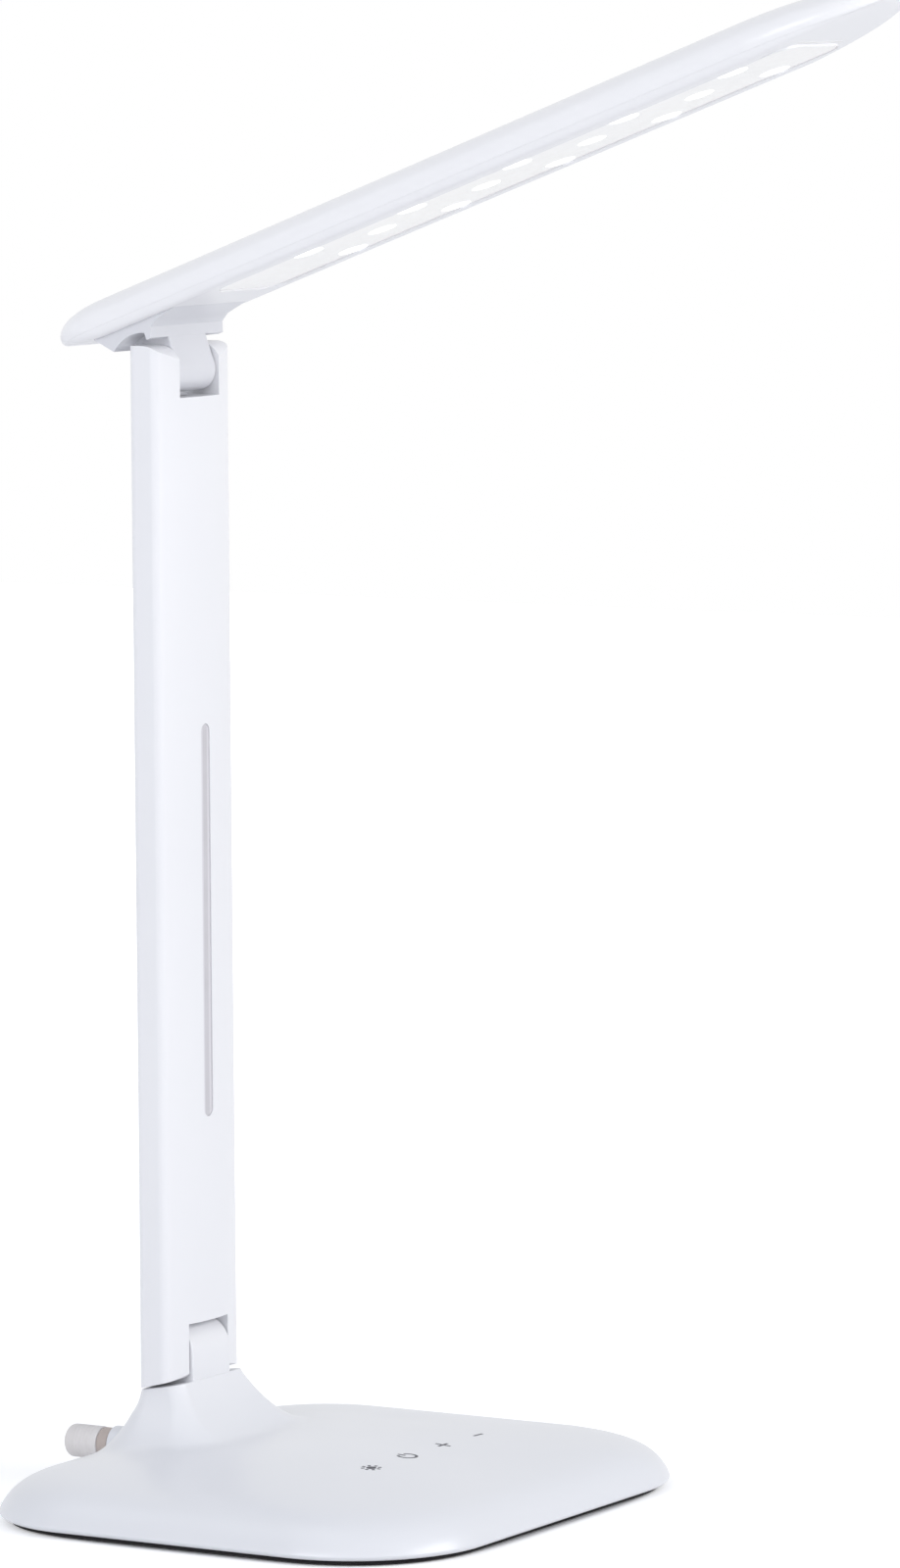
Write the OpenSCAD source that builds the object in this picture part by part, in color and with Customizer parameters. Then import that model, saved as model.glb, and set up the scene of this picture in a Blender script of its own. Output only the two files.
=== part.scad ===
// Folding desk lamp: weighted base with a neck, flat arm, pebble-shaped light head.
// Millimetres. The origin is the middle of the base on the desk, +Z up, -Y to the user.
// The arm stands upright and the head is tipped up at its rest pitch.

/* [Base] */
// Width of the base at its widest line
base_w = 200; // [180:1:220]
// Depth of the base from front to back
base_d = 171; // [160:1:190]
// Radius of the front corners of the base seen from above
base_front_r = 46; // [38:1:54]
// Radius of the back corners of the base seen from above
base_back_r = 40; // [34:1:50]
// Height of the widest line above the desk
base_edge_z = 3.4; // [2.8:0.1:4]
// Height of the middle of the domed top
base_h = 20.7; // [19:0.1:24]
// Wall of the base shell
base_wall = 2.4; // [2:0.1:3]
// How far the bottom plate lies inside the widest line
plate_inset = 3.6; // [3:0.1:5]
// Thickness of the bottom plate
plate_t = 1.2; // [1:0.1:1.8]
// Height of the rubber pads below the bottom plate
pad_lift = 0.5; // [0.3:0.1:0.8]
// Radius of a rubber pad
pad_r = 7; // [5:0.5:9]
// Width of the counterweight
weight_w = 120; // [90:1:130]
// Depth of the counterweight
weight_d = 92; // [70:1:100]
// Thickness of the counterweight
weight_t = 6; // [4:0.5:6.5]

/* [Touch panel] */
// Spacing of the touch keys
key_pitch = 22.4; // [20:0.1:26]
// Distance of the key row in front of the middle of the base
key_row = 32; // [26:1:40]
// Width of the circuit board
board_w = 84; // [82:1:96]
// Depth of the circuit board
board_d = 34; // [30:1:38]

/* [Arm] */
// Distance of the lower hinge axis behind the middle of the base
arm_y = 58.3; // [55:0.1:60]
// Height of the lower hinge axis above the desk
hinge_z = 46.3; // [45:0.1:52]
// Distance between the two hinge axes
arm_len = 321; // [300:1:340]
// Width of the arm
arm_w = 44.5; // [43:0.5:48]
// Thickness of the arm
arm_t = 17.4; // [17:0.1:19]
// Crown radius of the front and back of the arm
arm_crown_r = 70; // [60:1:100]
// Radius of the long edges of the arm
arm_edge_r = 5; // [4:0.1:6]
// Wall of the arm shells
arm_wall = 2.2; // [1.8:0.1:2.4]
// Half width of the notch that holds each tongue
notch_half = 11.8; // [11:0.1:12]
// Height of the lower notch above the lower axis
low_notch = 9.7; // [9.4:0.1:11]
// Depth of the upper notch below the upper axis
top_notch = 8.4; // [8.2:0.1:10]
// Width of the inlay in the front of the arm
inlay_w = 5.2; // [4:0.1:7]
// Height of the lower end of the inlay above the lower axis
inlay_z = 77; // [60:1:90]
// Length of the inlay
inlay_len = 129; // [110:1:150]

/* [Hinges] */
// Radius of a hinge pin
pin_r = 3; // [2.5:0.1:3.2]
// Running clearance between a pin and its bush
pin_fit = 0.03; // [0.02:0.01:0.06]
// Wall of a hinge bush
bush_wall = 1.5; // [1.2:0.1:1.7]
// Radius of a tongue about its axis
tongue_r = 7; // [6.8:0.1:7.2]
// Thickness of a friction washer
washer_t = 0.5; // [0.4:0.1:0.6]
// Thickness of the steel hinge brackets
bracket_t = 1.5; // [1.2:0.1:1.8]

/* [Head] */
// Pitch of the head above the horizontal at rest
head_pitch = 20.44; // [15:0.01:25]
// Width of the head
head_w = 53; // [52:0.5:58]
// Distance from the upper axis to the tip
head_tip = 289; // [280:1:300]
// Distance from the upper axis to the tail end
head_tail = 33; // [31:1:38]
// Height of the lower edge of the head above the upper axis
head_low = 16; // [15.6:0.1:17]
// Height of the widest line of the head above its lower edge
head_mid = 5; // [4.8:0.1:6]
// Height of the crown above the lower edge towards the tip
head_thick = 15; // [14.5:0.1:17]
// Height of the crown above the lower edge towards the tail
tail_thick = 13.8; // [13.5:0.1:16]
// Wall of the head shells
head_wall = 1.8; // [1.5:0.1:2]
// Length over which the tip is rounded
tip_round = 48; // [40:1:54]
// Length over which the tail is rounded
tail_round = 22; // [18:1:26]

/* [Lights] */
// Spacing of the light pairs along the head
led_pitch = 41.25; // [38:0.25:44]
// Distance from the upper axis to the first pair
led_first = 68.2; // [66:0.1:72]
// Half spacing across a pair
led_half = 13.6; // [12:0.1:14.5]
// Number of light pairs
led_pairs = 5; // [4:1:5]
// Radius of one light
led_r = 4.6; // [4:0.1:4.8]
// Thickness of the light panel
panel_t = 1.2; // [1:0.1:1.5]
// Recess of the light panel above the lower edge
panel_recess = 1; // [0.6:0.1:1.2]
// Distance from the upper axis to the start of the light panel
panel_start = 30; // [29:0.5:36]
// Width of the rim beside the light panel
rim_w = 3; // [2.6:0.1:4]

/* [Cord entry] */
// Height of the cord entry above the desk
entry_z = 11.3; // [10.8:0.1:11.5]
// Radius of the moulded boss
entry_boss_r = 6.2; // [6:0.1:6.6]
// How far the boss stands out behind the back edge of the base
entry_boss_out = 2; // [1.5:0.1:4]
// Length of the dark ring
entry_ring_len = 4.4; // [3:0.1:5]
// Length of the grey sleeve
entry_sleeve_len = 13.2; // [9:0.1:15]
// Radius of the grey sleeve
entry_sleeve_r = 5.5; // [5.2:0.1:5.8]
// Radius of the hole for the cord
entry_bore_r = 2.2; // [2:0.1:2.4]

/* [Hidden] */
$fn = 64;

// Small differences
eps = 0.01;
touch_gap = 0.3;
slip = 0.2;

// Colours
glossy_white = [0.95, 0.95, 0.97];
black = [0.06, 0.06, 0.07];
rubber = [0.12, 0.12, 0.12];
steel = [0.66, 0.67, 0.69];
iron = [0.33, 0.34, 0.36];
brass = [0.78, 0.66, 0.36];
board_green = [0.1, 0.35, 0.24];
grey_inlay = [0.80, 0.80, 0.82];
taupe = [0.74, 0.70, 0.68];
dark_taupe = [0.36, 0.31, 0.30];
panel_grey = [0.86, 0.85, 0.83];
cool_light = [0.97, 0.98, 1];
warm_light = [1, 0.97, 0.86];

// Base shape
plate_top = pad_lift + plate_t;
shell_low = plate_top;
dome_levels = [0.2, 0.45, 0.65, 0.8, 0.9, 0.95, 0.98, 1];
dome_fall = 0.43;
dome_edge_power = 20;
dome_edge_root = 1.2;
slice_t = 0.02;
facet_fn = 32;

// Neck
neck_half_w = arm_w / 2 - 3;
neck_half_front = 6.4;
neck_half_back = 7.6;
neck_corner_r = 5;
neck_side_r = 30;
neck_front_r = 35;
neck_back_r = 20;
neck_foot_drop = 2;
neck_levels = [0, 0.12, 0.3, 0.58, 1];
stop_gap = 0.35;
shoulder_back = 12.2;
shoulder_front = 9.1;
shoulder_half = 8.9;
neck_top = hinge_z - shoulder_front + 0.1;
neck_foot = base_h - neck_foot_drop - 2.4;
channel_r = 2.6;

// Ears
ear_r = arm_t / 2;
low_tongue_r = ear_r;
ear_back_drop = shoulder_back - stop_gap;
// The rounded lower corner in front swings past the sloping shoulder
shoulder_slope = (shoulder_back - shoulder_front) / (2 * shoulder_half);
shoulder_reach = (shoulder_back + shoulder_front) / 2 * cos(atan(shoulder_slope));
ear_corner_r = 5;
ear_corner_y = ear_r - ear_corner_r;
ear_corner_z = sqrt(pow(shoulder_reach - stop_gap - ear_corner_r, 2) - pow(ear_corner_y, 2));
ear_run = [ear_r + ear_corner_y, ear_corner_z - ear_back_drop];
ear_tangent_angle = atan2(ear_run[1], ear_run[0]) - acos(ear_corner_r / norm(ear_run));

// Hinge parts along their axis
tongue_half = notch_half - washer_t - 0.1;
bush_r = pin_r + bush_wall;
bush_inner = channel_r + 1;
cheek_in = notch_half + arm_wall + 0.1;
cheek_out = cheek_in + bracket_t;
pin_head_t = 2.2;
pin_head_r = arm_half_depth(cheek_out + pin_head_t, arm_wall) - touch_gap;
bracket_half_d = arm_half_depth(cheek_out, arm_wall) - touch_gap;
bracket_leg = 26;

// Arm seams and fasteners
arm_screw_z = [42, 160, 262];
arm_screw_x = 10;
screw_r = 1.5;
screw_head_r = 2.8;
screw_head_t = 1.8;
boss_wall = 1.9;
inlay_depth = 1.5;
inlay_sink = 0.4;
lead_r = 1.5;

// Head shape
head_stations = [0.004, 0.05, 0.16, 0.36, 0.66, 1];
section_power = 2.6;
plan_power = 2.3;
profile_power = 2;
section_steps = 8;
low_edge_in = 3.2;
split_n = head_low + 3;
head_half = head_w / 2;
panel_end = head_tip - 30;
panel_low = head_low + panel_recess;
panel_half = head_half - low_edge_in - rim_w + 0.6;
panel_corner_r = 9;
panel_fit = 0.1;
panel_frame_t = 1.6;
rim_screw_x = 15;
rim_screw_floor = 0.8;
rim_screw_len = 5;
rim_head_t = 0.8;
rim_head_sink = 0.3;
ledge = 2;
rim_screw_rear = 7;
rim_screw_front = 13;
rim_screw_xy = [
  [-rim_screw_x, rim_screw_rear],
  [rim_screw_x, rim_screw_rear],
  [-rim_screw_x, -rim_screw_front],
  [rim_screw_x, -rim_screw_front]
];
led_t = 0.8;
led_board_t = 1.6;
spreader_t = 1;
board_half = led_half + led_r + 1;
board_end = led_first + (led_pairs - 1) * led_pitch + led_r + 4;
board_start = led_first - led_r - 12;
led_z = panel_low + panel_t + touch_gap;
board_z = led_z + led_t;
spreader_z = board_z + led_board_t;
spreader_fin_t = 1.4;

// Knuckle under the head
knuckle_half = arm_w / 2 - 0.6;
knuckle_clear_r = ear_r * sqrt(2) + 0.7;
knuckle_front_n = ear_r + 0.9;
knuckle_back_s = 7.7;
knuckle_back_n = 10.9;
knuckle_front_s = 7;
knuckle_step_s = 5;
knuckle_tail = 14;
knuckle_screw_x = 7.4;
knuckle_screw_low = 8.6;

// Base inside
screw_x = 70;
screw_front = 44;
screw_back = 44;
cup_r = 6;
cup_top = 6;
base_screw_r = 1.6;
base_screw_head_r = 3.4;
base_screw_head_t = 2.2;
base_screw_top = 11.5;
stake_r = 2.6;
stake_x = weight_w / 2 - 10;
stake_y = weight_d / 2 - 10;
weight_y = -8;
pad_x = base_w / 2 - 26;
pad_y = base_d / 2 - 26;
board_t = 1.6;
touch_board_z = 12.8;
touch_board_top = touch_board_z + board_t;
board_screw_x = board_w / 2 - 3.5;
board_screw_y = board_d / 2 - 3.5;
board_screw_r = 1.2;
spring_r = 3.2;
spring_wire = 0.8;
board_part_y = -key_row - 4;
chip_x = 14;
chip_w = 8;
chip_t = 1.2;
coil_x = 28;
coil_r = 3.5;
coil_h = 3;
small_part_x = -8;
small_part_w = 4;
small_part_d = 3;
plug_w = 7;
plug_d = 5;
plug_h = 3.6;
plug_y = -key_row + board_d / 2 - 4;
cord_socket_x = -22;
bend_r = 6;
entry_y = base_d / 2 + entry_boss_out;
entry_inner = base_d / 2 - 14;

// ---------- Shared outlines ----------

module rounded_rect(w, d, r) {
  square([w - 2 * r, d], center = true);
  square([w, d - 2 * r], center = true);
  for (x = [-1, 1], y = [-1, 1])
    translate([x * (w / 2 - r), y * (d / 2 - r)])
      circle(r);
}

// Base outline with its own radii at the front and the back
module base_outline(w, d, front_r, back_r) {
  translate([-w / 2, -d / 2 + front_r])
    square([w, d - front_r - back_r]);
  translate([-w / 2 + front_r, -d / 2])
    square([w - 2 * front_r, front_r]);
  translate([-w / 2 + back_r, d / 2 - back_r])
    square([w - 2 * back_r, back_r]);
  for (x = [-1, 1]) {
    translate([x * (w / 2 - front_r), -d / 2 + front_r])
      circle(front_r);
    translate([x * (w / 2 - back_r), d / 2 - back_r])
      circle(back_r);
  }
}

module slot_2d(w, len) {
  translate([-w / 2, w / 2])
    square([w, len - w]);
  for (y = [w / 2, len - w / 2])
    translate([0, y])
      circle(w / 2);
}

// Bar along X with its outline drawn in the Y-Z plane
module side_extrude(half) {
  translate([-half, 0, 0])
    rotate([90, 0, 90])
      linear_extrude(2 * half)
        children();
}

module x_rod(r, x0, x1) {
  translate([x0, 0, 0])
    rotate([0, 90, 0])
      cylinder(r = r, h = x1 - x0);
}

module y_rod(r, y0, y1) {
  translate([0, y0, 0])
    rotate([-90, 0, 0])
      cylinder(r = r, h = y1 - y0);
}

module both_sides() {
  children();
  mirror([1, 0, 0])
    children();
}

module on_arm() {
  translate([0, arm_y, hinge_z])
    children();
}

// Head frame: the upper axis is the origin and the tip lies towards -Y
module on_head() {
  translate([0, arm_y, hinge_z + arm_len])
    rotate([-head_pitch, 0, 0])
      children();
}

// ---------- Base ----------

function dome_z(s, edge, top) =
  edge + (top - edge) * (1 - dome_fall * s * s)
  * pow(max(1 - pow(s, dome_edge_power), 0), 1 / dome_edge_root);

module dome_slice(cut, s) {
  linear_extrude(slice_t)
    scale([s, s])
      base_outline(base_w - 2 * cut, base_d - 2 * cut, base_front_r - cut, base_back_r - cut,
        $fn = facet_fn);
}

// Domed block, a wall smaller where cut is given. It is widest at the edge
// height and drawn in towards its low face.
module dome(cut, low) {
  hull() {
    translate([0, 0, low])
      dome_slice(cut + plate_inset, 1);
    for (s = dome_levels)
      translate([0, 0, dome_z(s, base_edge_z, base_h - cut) - slice_t])
        dome_slice(cut, s);
  }
}

function flare(r, h) = h >= r ? 0 : r - sqrt(r * r - pow(r - h, 2));

module neck_slice(z) {
  h = z - neck_foot;
  front = neck_half_front + flare(neck_front_r, h);
  back = neck_half_back + flare(neck_back_r, h + 2);
  side = neck_half_w + flare(neck_side_r, h);
  translate([0, (back - front) / 2, z])
    linear_extrude(slice_t)
      rounded_rect(2 * side, front + back, neck_corner_r + flare(neck_back_r, h), $fn = facet_fn);
}

module neck_flare() {
  for (i = [0 : len(neck_levels) - 2])
    hull() {
      neck_slice(neck_foot + 1.5 + neck_levels[i] * (neck_top - neck_foot - 1.5));
      neck_slice(neck_foot + 1.5 + neck_levels[i + 1] * (neck_top - neck_foot - 1.5) - slice_t);
    }
}

// Everything above the sloping shoulder, except the tongue, is cut away
module shoulder_cut() {
  side_extrude(arm_w)
    polygon([
      [shoulder_half * 3, -shoulder_back - shoulder_half * 2 * (shoulder_back - shoulder_front)
        / (2 * shoulder_half)],
      [shoulder_half * 3, 0],
      [-shoulder_half * 3, 0],
      [-shoulder_half * 3, -shoulder_front + shoulder_half * 2 * (shoulder_back - shoulder_front)
        / (2 * shoulder_half)]
    ]);
}

module tongue_profile(drop_front, drop_back) {
  circle(low_tongue_r);
  polygon([
    [-low_tongue_r, 0],
    [low_tongue_r, 0],
    [shoulder_half, -drop_back],
    [-shoulder_half, -drop_front]
  ]);
}

module base_boss_places() {
  for (x = [-screw_x, screw_x], y = [-screw_front, screw_back])
    translate([x, y, 0])
      children();
}

module board_screw_places() {
  for (x = [-board_screw_x, board_screw_x], y = [-board_screw_y, board_screw_y])
    translate([x, y - key_row, 0])
      children();
}

module key_places() {
  for (i = [0 : 3])
    translate([(i - 1.5) * key_pitch, -key_row, 0])
      children();
}

// Posts inside the shell, cut to the underside of the dome
module shell_posts() {
  intersection() {
    union() {
      base_boss_places()
        translate([0, 0, cup_top + slip])
          cylinder(r = base_screw_r + boss_wall, h = base_h);
      board_screw_places()
        translate([0, 0, touch_board_top])
          cylinder(r = board_screw_r + boss_wall, h = base_h);
    }
    dome(base_wall / 2, shell_low);
  }
}

module neck_channel() {
  translate([0, arm_y, neck_foot - 4])
    linear_extrude(hinge_z - shoulder_back - neck_foot)
      rounded_rect(2 * (neck_half_w - base_wall), 2 * (neck_half_front - 0.6), 3);
}

module base_shell() color(glossy_white) {
  difference() {
    union() {
      difference() {
        union() {
          dome(0, shell_low);
          translate([0, arm_y, 0])
            neck_flare();
        }
        dome(base_wall, shell_low - eps);
        on_arm()
          shoulder_cut();
        neck_channel();
      }
      shell_posts();
      on_arm()
        side_extrude(tongue_half)
          tongue_profile(shoulder_front + 2, shoulder_back + 2);
      translate([0, 0, entry_z])
        y_rod(entry_boss_r, entry_inner, entry_y);
    }
    on_arm()
      x_rod(bush_r, -tongue_half - 1, tongue_half + 1);
    translate([0, arm_y, neck_foot])
      cylinder(r = channel_r, h = hinge_z);
    translate([0, 0, entry_z])
      y_rod(entry_bore_r, entry_inner - 1, entry_y + 1);
    base_boss_places()
      cylinder(r = base_screw_r, h = base_screw_top + 0.5);
    board_screw_places()
      cylinder(r = board_screw_r, h = touch_board_top + 1.2);
  }
}

module plate_outline(inset) {
  base_outline(base_w - 2 * inset, base_d - 2 * inset, base_front_r - inset, base_back_r - inset);
}

module base_plate() color(black) {
  rib_out = plate_inset + base_wall + slip;
  difference() {
    union() {
      translate([0, 0, pad_lift])
        linear_extrude(plate_t)
          plate_outline(plate_inset);
      translate([0, 0, pad_lift])
        linear_extrude(plate_t + 1.6)
          difference() {
            plate_outline(rib_out);
            plate_outline(rib_out + 1.4);
          }
      base_boss_places()
        translate([0, 0, pad_lift])
          cylinder(r = cup_r, h = cup_top - pad_lift);
      weight_stakes(stake_r, plate_top + weight_t + 0.8);
    }
    base_boss_places()
      translate([0, 0, pad_lift - eps]) {
        cylinder(r = base_screw_head_r + slip, h = base_screw_head_t + 0.4 + eps);
        cylinder(r = base_screw_r + slip, h = cup_top);
      }
    pad_places()
      translate([0, 0, pad_lift - eps])
        cylinder(r = pad_r, h = 0.6);
  }
}

module pad_places() {
  for (x = [-pad_x, pad_x], y = [-pad_y, pad_y])
    translate([x, y, 0])
      children();
}

module foot_pads() color(rubber)
  pad_places()
    cylinder(r = pad_r - slip / 2, h = pad_lift + 0.6 - eps);

module weight_stakes(r, top) {
  for (x = [-stake_x, stake_x], y = [-stake_y, stake_y])
    translate([x, y + weight_y, pad_lift])
      cylinder(r = r, h = top - pad_lift);
}

module counterweight() color(iron)
  difference() {
    translate([0, weight_y, plate_top])
      linear_extrude(weight_t)
        rounded_rect(weight_w, weight_d, 8);
    weight_stakes(stake_r + slip, plate_top + weight_t + 1);
  }

module base_screws() color(steel)
  base_boss_places()
    translate([0, 0, pad_lift + 0.4]) {
      cylinder(r = base_screw_head_r, h = base_screw_head_t);
      cylinder(r = base_screw_r, h = base_screw_top - pad_lift - 0.4);
    }

module touch_board() color(board_green)
  difference() {
    translate([0, -key_row, touch_board_z])
      linear_extrude(board_t)
        rounded_rect(board_w, board_d, 2);
    board_screw_places()
      cylinder(r = board_screw_r + 0.1, h = base_h);
  }

module board_screws() color(steel)
  board_screw_places()
    translate([0, 0, touch_board_z - 1.4]) {
      cylinder(r = 2.3, h = 1.4);
      cylinder(r = board_screw_r, h = board_t + 2.4);
    }

// Chip, coil, capacitor and the sockets for the cord and the lamp lead under the board
module board_parts() color([0.16, 0.16, 0.18]) {
  translate([chip_x - chip_w / 2, -key_row - chip_w / 2, touch_board_z - chip_t])
    cube([chip_w, chip_w, chip_t]);
  translate([coil_x, board_part_y, touch_board_z - coil_h])
    cylinder(r = coil_r, h = coil_h);
  for (x = [small_part_x, small_part_x + 2 * small_part_w])
    translate([x, board_part_y, touch_board_z - chip_t])
      cube([small_part_w, small_part_d, chip_t]);
  for (x = [cord_socket_x, 0])
    translate([x - plug_w / 2, plug_y - plug_d / 2, touch_board_z - plug_h])
      cube([plug_w, plug_d, plug_h]);
}

module touch_springs() color(steel)
  key_places()
    translate([0, 0, touch_board_top])
      difference() {
        cylinder(r = spring_r, h = spring_height());
        translate([0, 0, -1])
          cylinder(r = spring_r - spring_wire, h = base_h);
      }

// Springs end just under the dome at the key that lies furthest out
function spring_height() =
  dome_z(
    max(
      (1.5 * key_pitch + spring_r) / (base_w / 2 - base_wall),
      (key_row + spring_r) / (base_d / 2 - base_wall)
    ),
    base_edge_z, base_h - base_wall)
  - touch_board_top - 0.2;

module gland_ring() color(dark_taupe)
  translate([0, 0, entry_z])
    difference() {
      y_rod(entry_sleeve_r - 0.2, entry_y, entry_y + entry_ring_len);
      y_rod(entry_bore_r, entry_y - 1, entry_y + entry_ring_len + 1);
    }

module cord_gland() color(taupe) {
  start = entry_y + entry_ring_len;
  round_r = 2.2;
  translate([0, start, entry_z])
    rotate([-90, 0, 0])
      rotate_extrude()
        difference() {
          union() {
            square([entry_sleeve_r, entry_sleeve_len - round_r]);
            square([entry_sleeve_r - round_r, entry_sleeve_len]);
            translate([entry_sleeve_r - round_r, entry_sleeve_len - round_r])
              circle(round_r);
          }
          translate([-entry_sleeve_r, -1])
            square([entry_sleeve_r + entry_bore_r, entry_sleeve_len + 2]);
        }
}

// Quarter turn in the X-Y plane, from +X round to +Y about the origin
module elbow(r) {
  rotate_extrude(angle = 90)
    translate([r, 0])
      circle(lead_r);
}

module base_lead() color(black) {
  plug_back = plug_y + plug_d / 2;
  translate([0, 0, entry_z])
    y_rod(lead_r, plug_back, arm_y - bend_r);
  translate([0, arm_y - bend_r, entry_z + bend_r])
    rotate([0, 90, 0])
      elbow(bend_r);
  translate([0, arm_y, entry_z + bend_r])
    cylinder(r = lead_r, h = hinge_z - pin_r - 2 - entry_z - bend_r);
}

// ---------- Hinge parts, drawn about their own axis ----------

module bushes() color(brass)
  both_sides()
    difference() {
      x_rod(bush_r, bush_inner, tongue_half);
      x_rod(pin_r + pin_fit, bush_inner - 1, tongue_half + 1);
    }

module pins() color(steel)
  both_sides() {
    x_rod(pin_r, bush_inner, cheek_out + eps);
    x_rod(pin_head_r, cheek_out, cheek_out + pin_head_t);
  }

module washers() color(steel)
  both_sides()
    difference() {
      x_rod(tongue_r - 0.6, notch_half - washer_t, notch_half);
      x_rod(pin_r + slip, notch_half - 1, notch_half + 1);
    }

// Steel yoke: two cheeks with pin holes and a web past the notch floor.
// The arm lies towards +Z.
module hinge_bracket(floor_z) color(steel) {
  web_z = floor_z + arm_wall + touch_gap;
  difference() {
    union() {
      both_sides() {
        translate([cheek_in, -bracket_half_d, 0])
          cube([bracket_t, 2 * bracket_half_d, web_z + bracket_leg]);
        x_rod(bracket_half_d, cheek_in, cheek_out);
      }
      translate([-cheek_in - eps, -bracket_half_d, web_z])
        cube([2 * cheek_in + 2 * eps, 2 * bracket_half_d, bracket_t]);
    }
    x_rod(pin_r, -arm_w, arm_w);
    cylinder(r = channel_r, h = arm_len / 2);
  }
}

// ---------- Arm, drawn about the lower axis ----------

module arm_section(cut) {
  crown = arm_crown_r - cut;
  half_t = arm_t / 2 - cut;
  intersection() {
    rounded_rect(arm_w - 2 * cut, 2 * half_t, arm_edge_r - cut / 2);
    translate([0, crown - half_t])
      circle(crown, $fn = 180);
    translate([0, half_t - crown])
      circle(crown, $fn = 180);
  }
}

// Half thickness of the arm at a distance x from its middle, inside a wall of the given cut
function arm_half_depth(x, cut) =
  arm_t / 2 - cut - (arm_crown_r - cut) + sqrt(pow(arm_crown_r - cut, 2) - x * x);

// Side outline of the arm: round front corners about both axes, square back corners
module arm_profile() {
  translate([-ear_r, 0])
    square([2 * ear_r, arm_len]);
  translate([-ear_corner_y, -ear_corner_z])
    circle(ear_corner_r);
  polygon([
    [-ear_r, 0],
    [ear_r, 0],
    [ear_r, -ear_back_drop],
    [
      -ear_corner_y + ear_corner_r * cos(ear_tangent_angle),
      -ear_corner_z + ear_corner_r * sin(ear_tangent_angle)
    ],
    [-ear_corner_y, -ear_corner_z],
    [-ear_r, -ear_corner_z]
  ]);
  translate([0, arm_len]) {
    circle(ear_r);
    square([ear_r, ear_r]);
  }
}

module arm_profile_inner() {
  inner = ear_r - arm_wall;
  translate([-inner, 0])
    square([2 * inner, arm_len]);
  for (z = [0, arm_len])
    translate([0, z])
      circle(inner);
}

module notch_blocks(grow) {
  half = notch_half + grow;
  translate([-half, -arm_t, -2 * arm_t])
    cube([2 * half, 2 * arm_t, 2 * arm_t + low_notch + grow]);
  translate([-half, -arm_t, arm_len - top_notch - grow])
    cube([2 * half, 2 * arm_t, 3 * arm_t]);
}

module arm_screw_places() {
  for (i = [0 : len(arm_screw_z) - 1])
    translate([arm_screw_x * (i % 2 == 0 ? 1 : -1), 0, arm_screw_z[i]])
      children();
}

module arm_bosses() {
  intersection() {
    arm_screw_places()
      rotate([90, 0, 0])
        translate([0, 0, -arm_t])
          cylinder(r = screw_r + boss_wall, h = 2 * arm_t);
    translate([0, 0, low_notch])
      linear_extrude(arm_len - top_notch - low_notch)
        arm_section(arm_wall / 2);
  }
}

module arm_hollow() {
  difference() {
    intersection() {
      translate([0, 0, -2 * arm_t])
        linear_extrude(arm_len + 4 * arm_t)
          arm_section(arm_wall);
      side_extrude(arm_w)
        arm_profile_inner();
    }
    notch_blocks(arm_wall);
  }
}

module inlay_pocket(depth, gap) {
  translate([0, -arm_t / 2 + depth, inlay_z - gap])
    rotate([90, 0, 0])
      linear_extrude(depth * 2)
        slot_2d(inlay_w + 2 * gap, inlay_len + 2 * gap);
}

module arm_body() {
  difference() {
    union() {
      difference() {
        intersection() {
          translate([0, 0, -2 * arm_t])
            linear_extrude(arm_len + 4 * arm_t)
              arm_section(0);
          side_extrude(arm_w)
            arm_profile();
        }
        arm_hollow();
      }
      arm_bosses();
    }
    notch_blocks(0);
    for (z = [0, arm_len])
      translate([0, 0, z])
        x_rod(pin_r + slip, -cheek_in - 1, cheek_in + 1);
    cylinder(r = channel_r, h = arm_len);
    inlay_pocket(inlay_depth, 0);
    arm_screw_places()
      arm_screw(slip / 2);
  }
}

module arm_screw(grow) {
  head_y = arm_t / 2 - 2.6;
  y_rod(screw_r + grow, -arm_t / 2 + arm_wall, head_y);
  y_rod(screw_head_r + grow, head_y - grow, head_y + (grow > 0 ? arm_t : screw_head_t));
}

module arm_half(front) {
  intersection() {
    arm_body();
    translate([-arm_w, front ? -2 * arm_t : 0, -2 * arm_t])
      cube([2 * arm_w, 2 * arm_t, arm_len + 4 * arm_t]);
  }
}

module arm_front_shell() color(glossy_white)
  on_arm()
    arm_half(true);

module arm_rear_shell() color(glossy_white)
  on_arm()
    arm_half(false);

module arm_inlay() color(grey_inlay)
  on_arm()
    intersection() {
      inlay_pocket(inlay_depth, 0);
      translate([0, 0, inlay_z])
        linear_extrude(inlay_len)
          arm_section(inlay_sink);
    }

module arm_screws() color(steel)
  on_arm()
    arm_screw_places()
      arm_screw(0);

// The lead lies against the rear of the holes it passes through
module arm_lead() color(black)
  on_arm()
    translate([0, channel_r - lead_r - touch_gap, low_notch + touch_gap])
      cylinder(r = lead_r, h = arm_len - top_notch - low_notch - 2 * touch_gap);

module lower_bushes()
  on_arm()
    bushes();

module lower_hinge_pins()
  on_arm()
    pins();

module lower_washers()
  on_arm()
    washers();

module lower_hinge_bracket()
  on_arm()
    hinge_bracket(low_notch);

module at_upper_axis() {
  on_arm()
    translate([0, 0, arm_len])
      children();
}

module upper_hinge_pins()
  at_upper_axis()
    pins();

module upper_washers()
  at_upper_axis()
    washers();

module upper_hinge_bracket()
  at_upper_axis()
    mirror([0, 0, 1])
      hinge_bracket(top_notch);

// ---------- Head, drawn in the head frame ----------

// Rounding of an end: 0 at the very end and 1 where the full section starts
function end_share(t, power) = pow(max(1 - pow(1 - t, power), 0), 1 / power);

// Half section from the low edge over the widest line to the crown
function section_points(half, mid, top, low) = [
  for (i = [0 : 2])
    [half - low_edge_in * (1 - sin(45 * i)), mid - (mid - low) * cos(45 * i)],
  for (i = [1 : section_steps])
    let (a = 90 * i / section_steps)
    [half * pow(cos(a), 2 / section_power), mid + (top - mid) * sin(a)]
];

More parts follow.
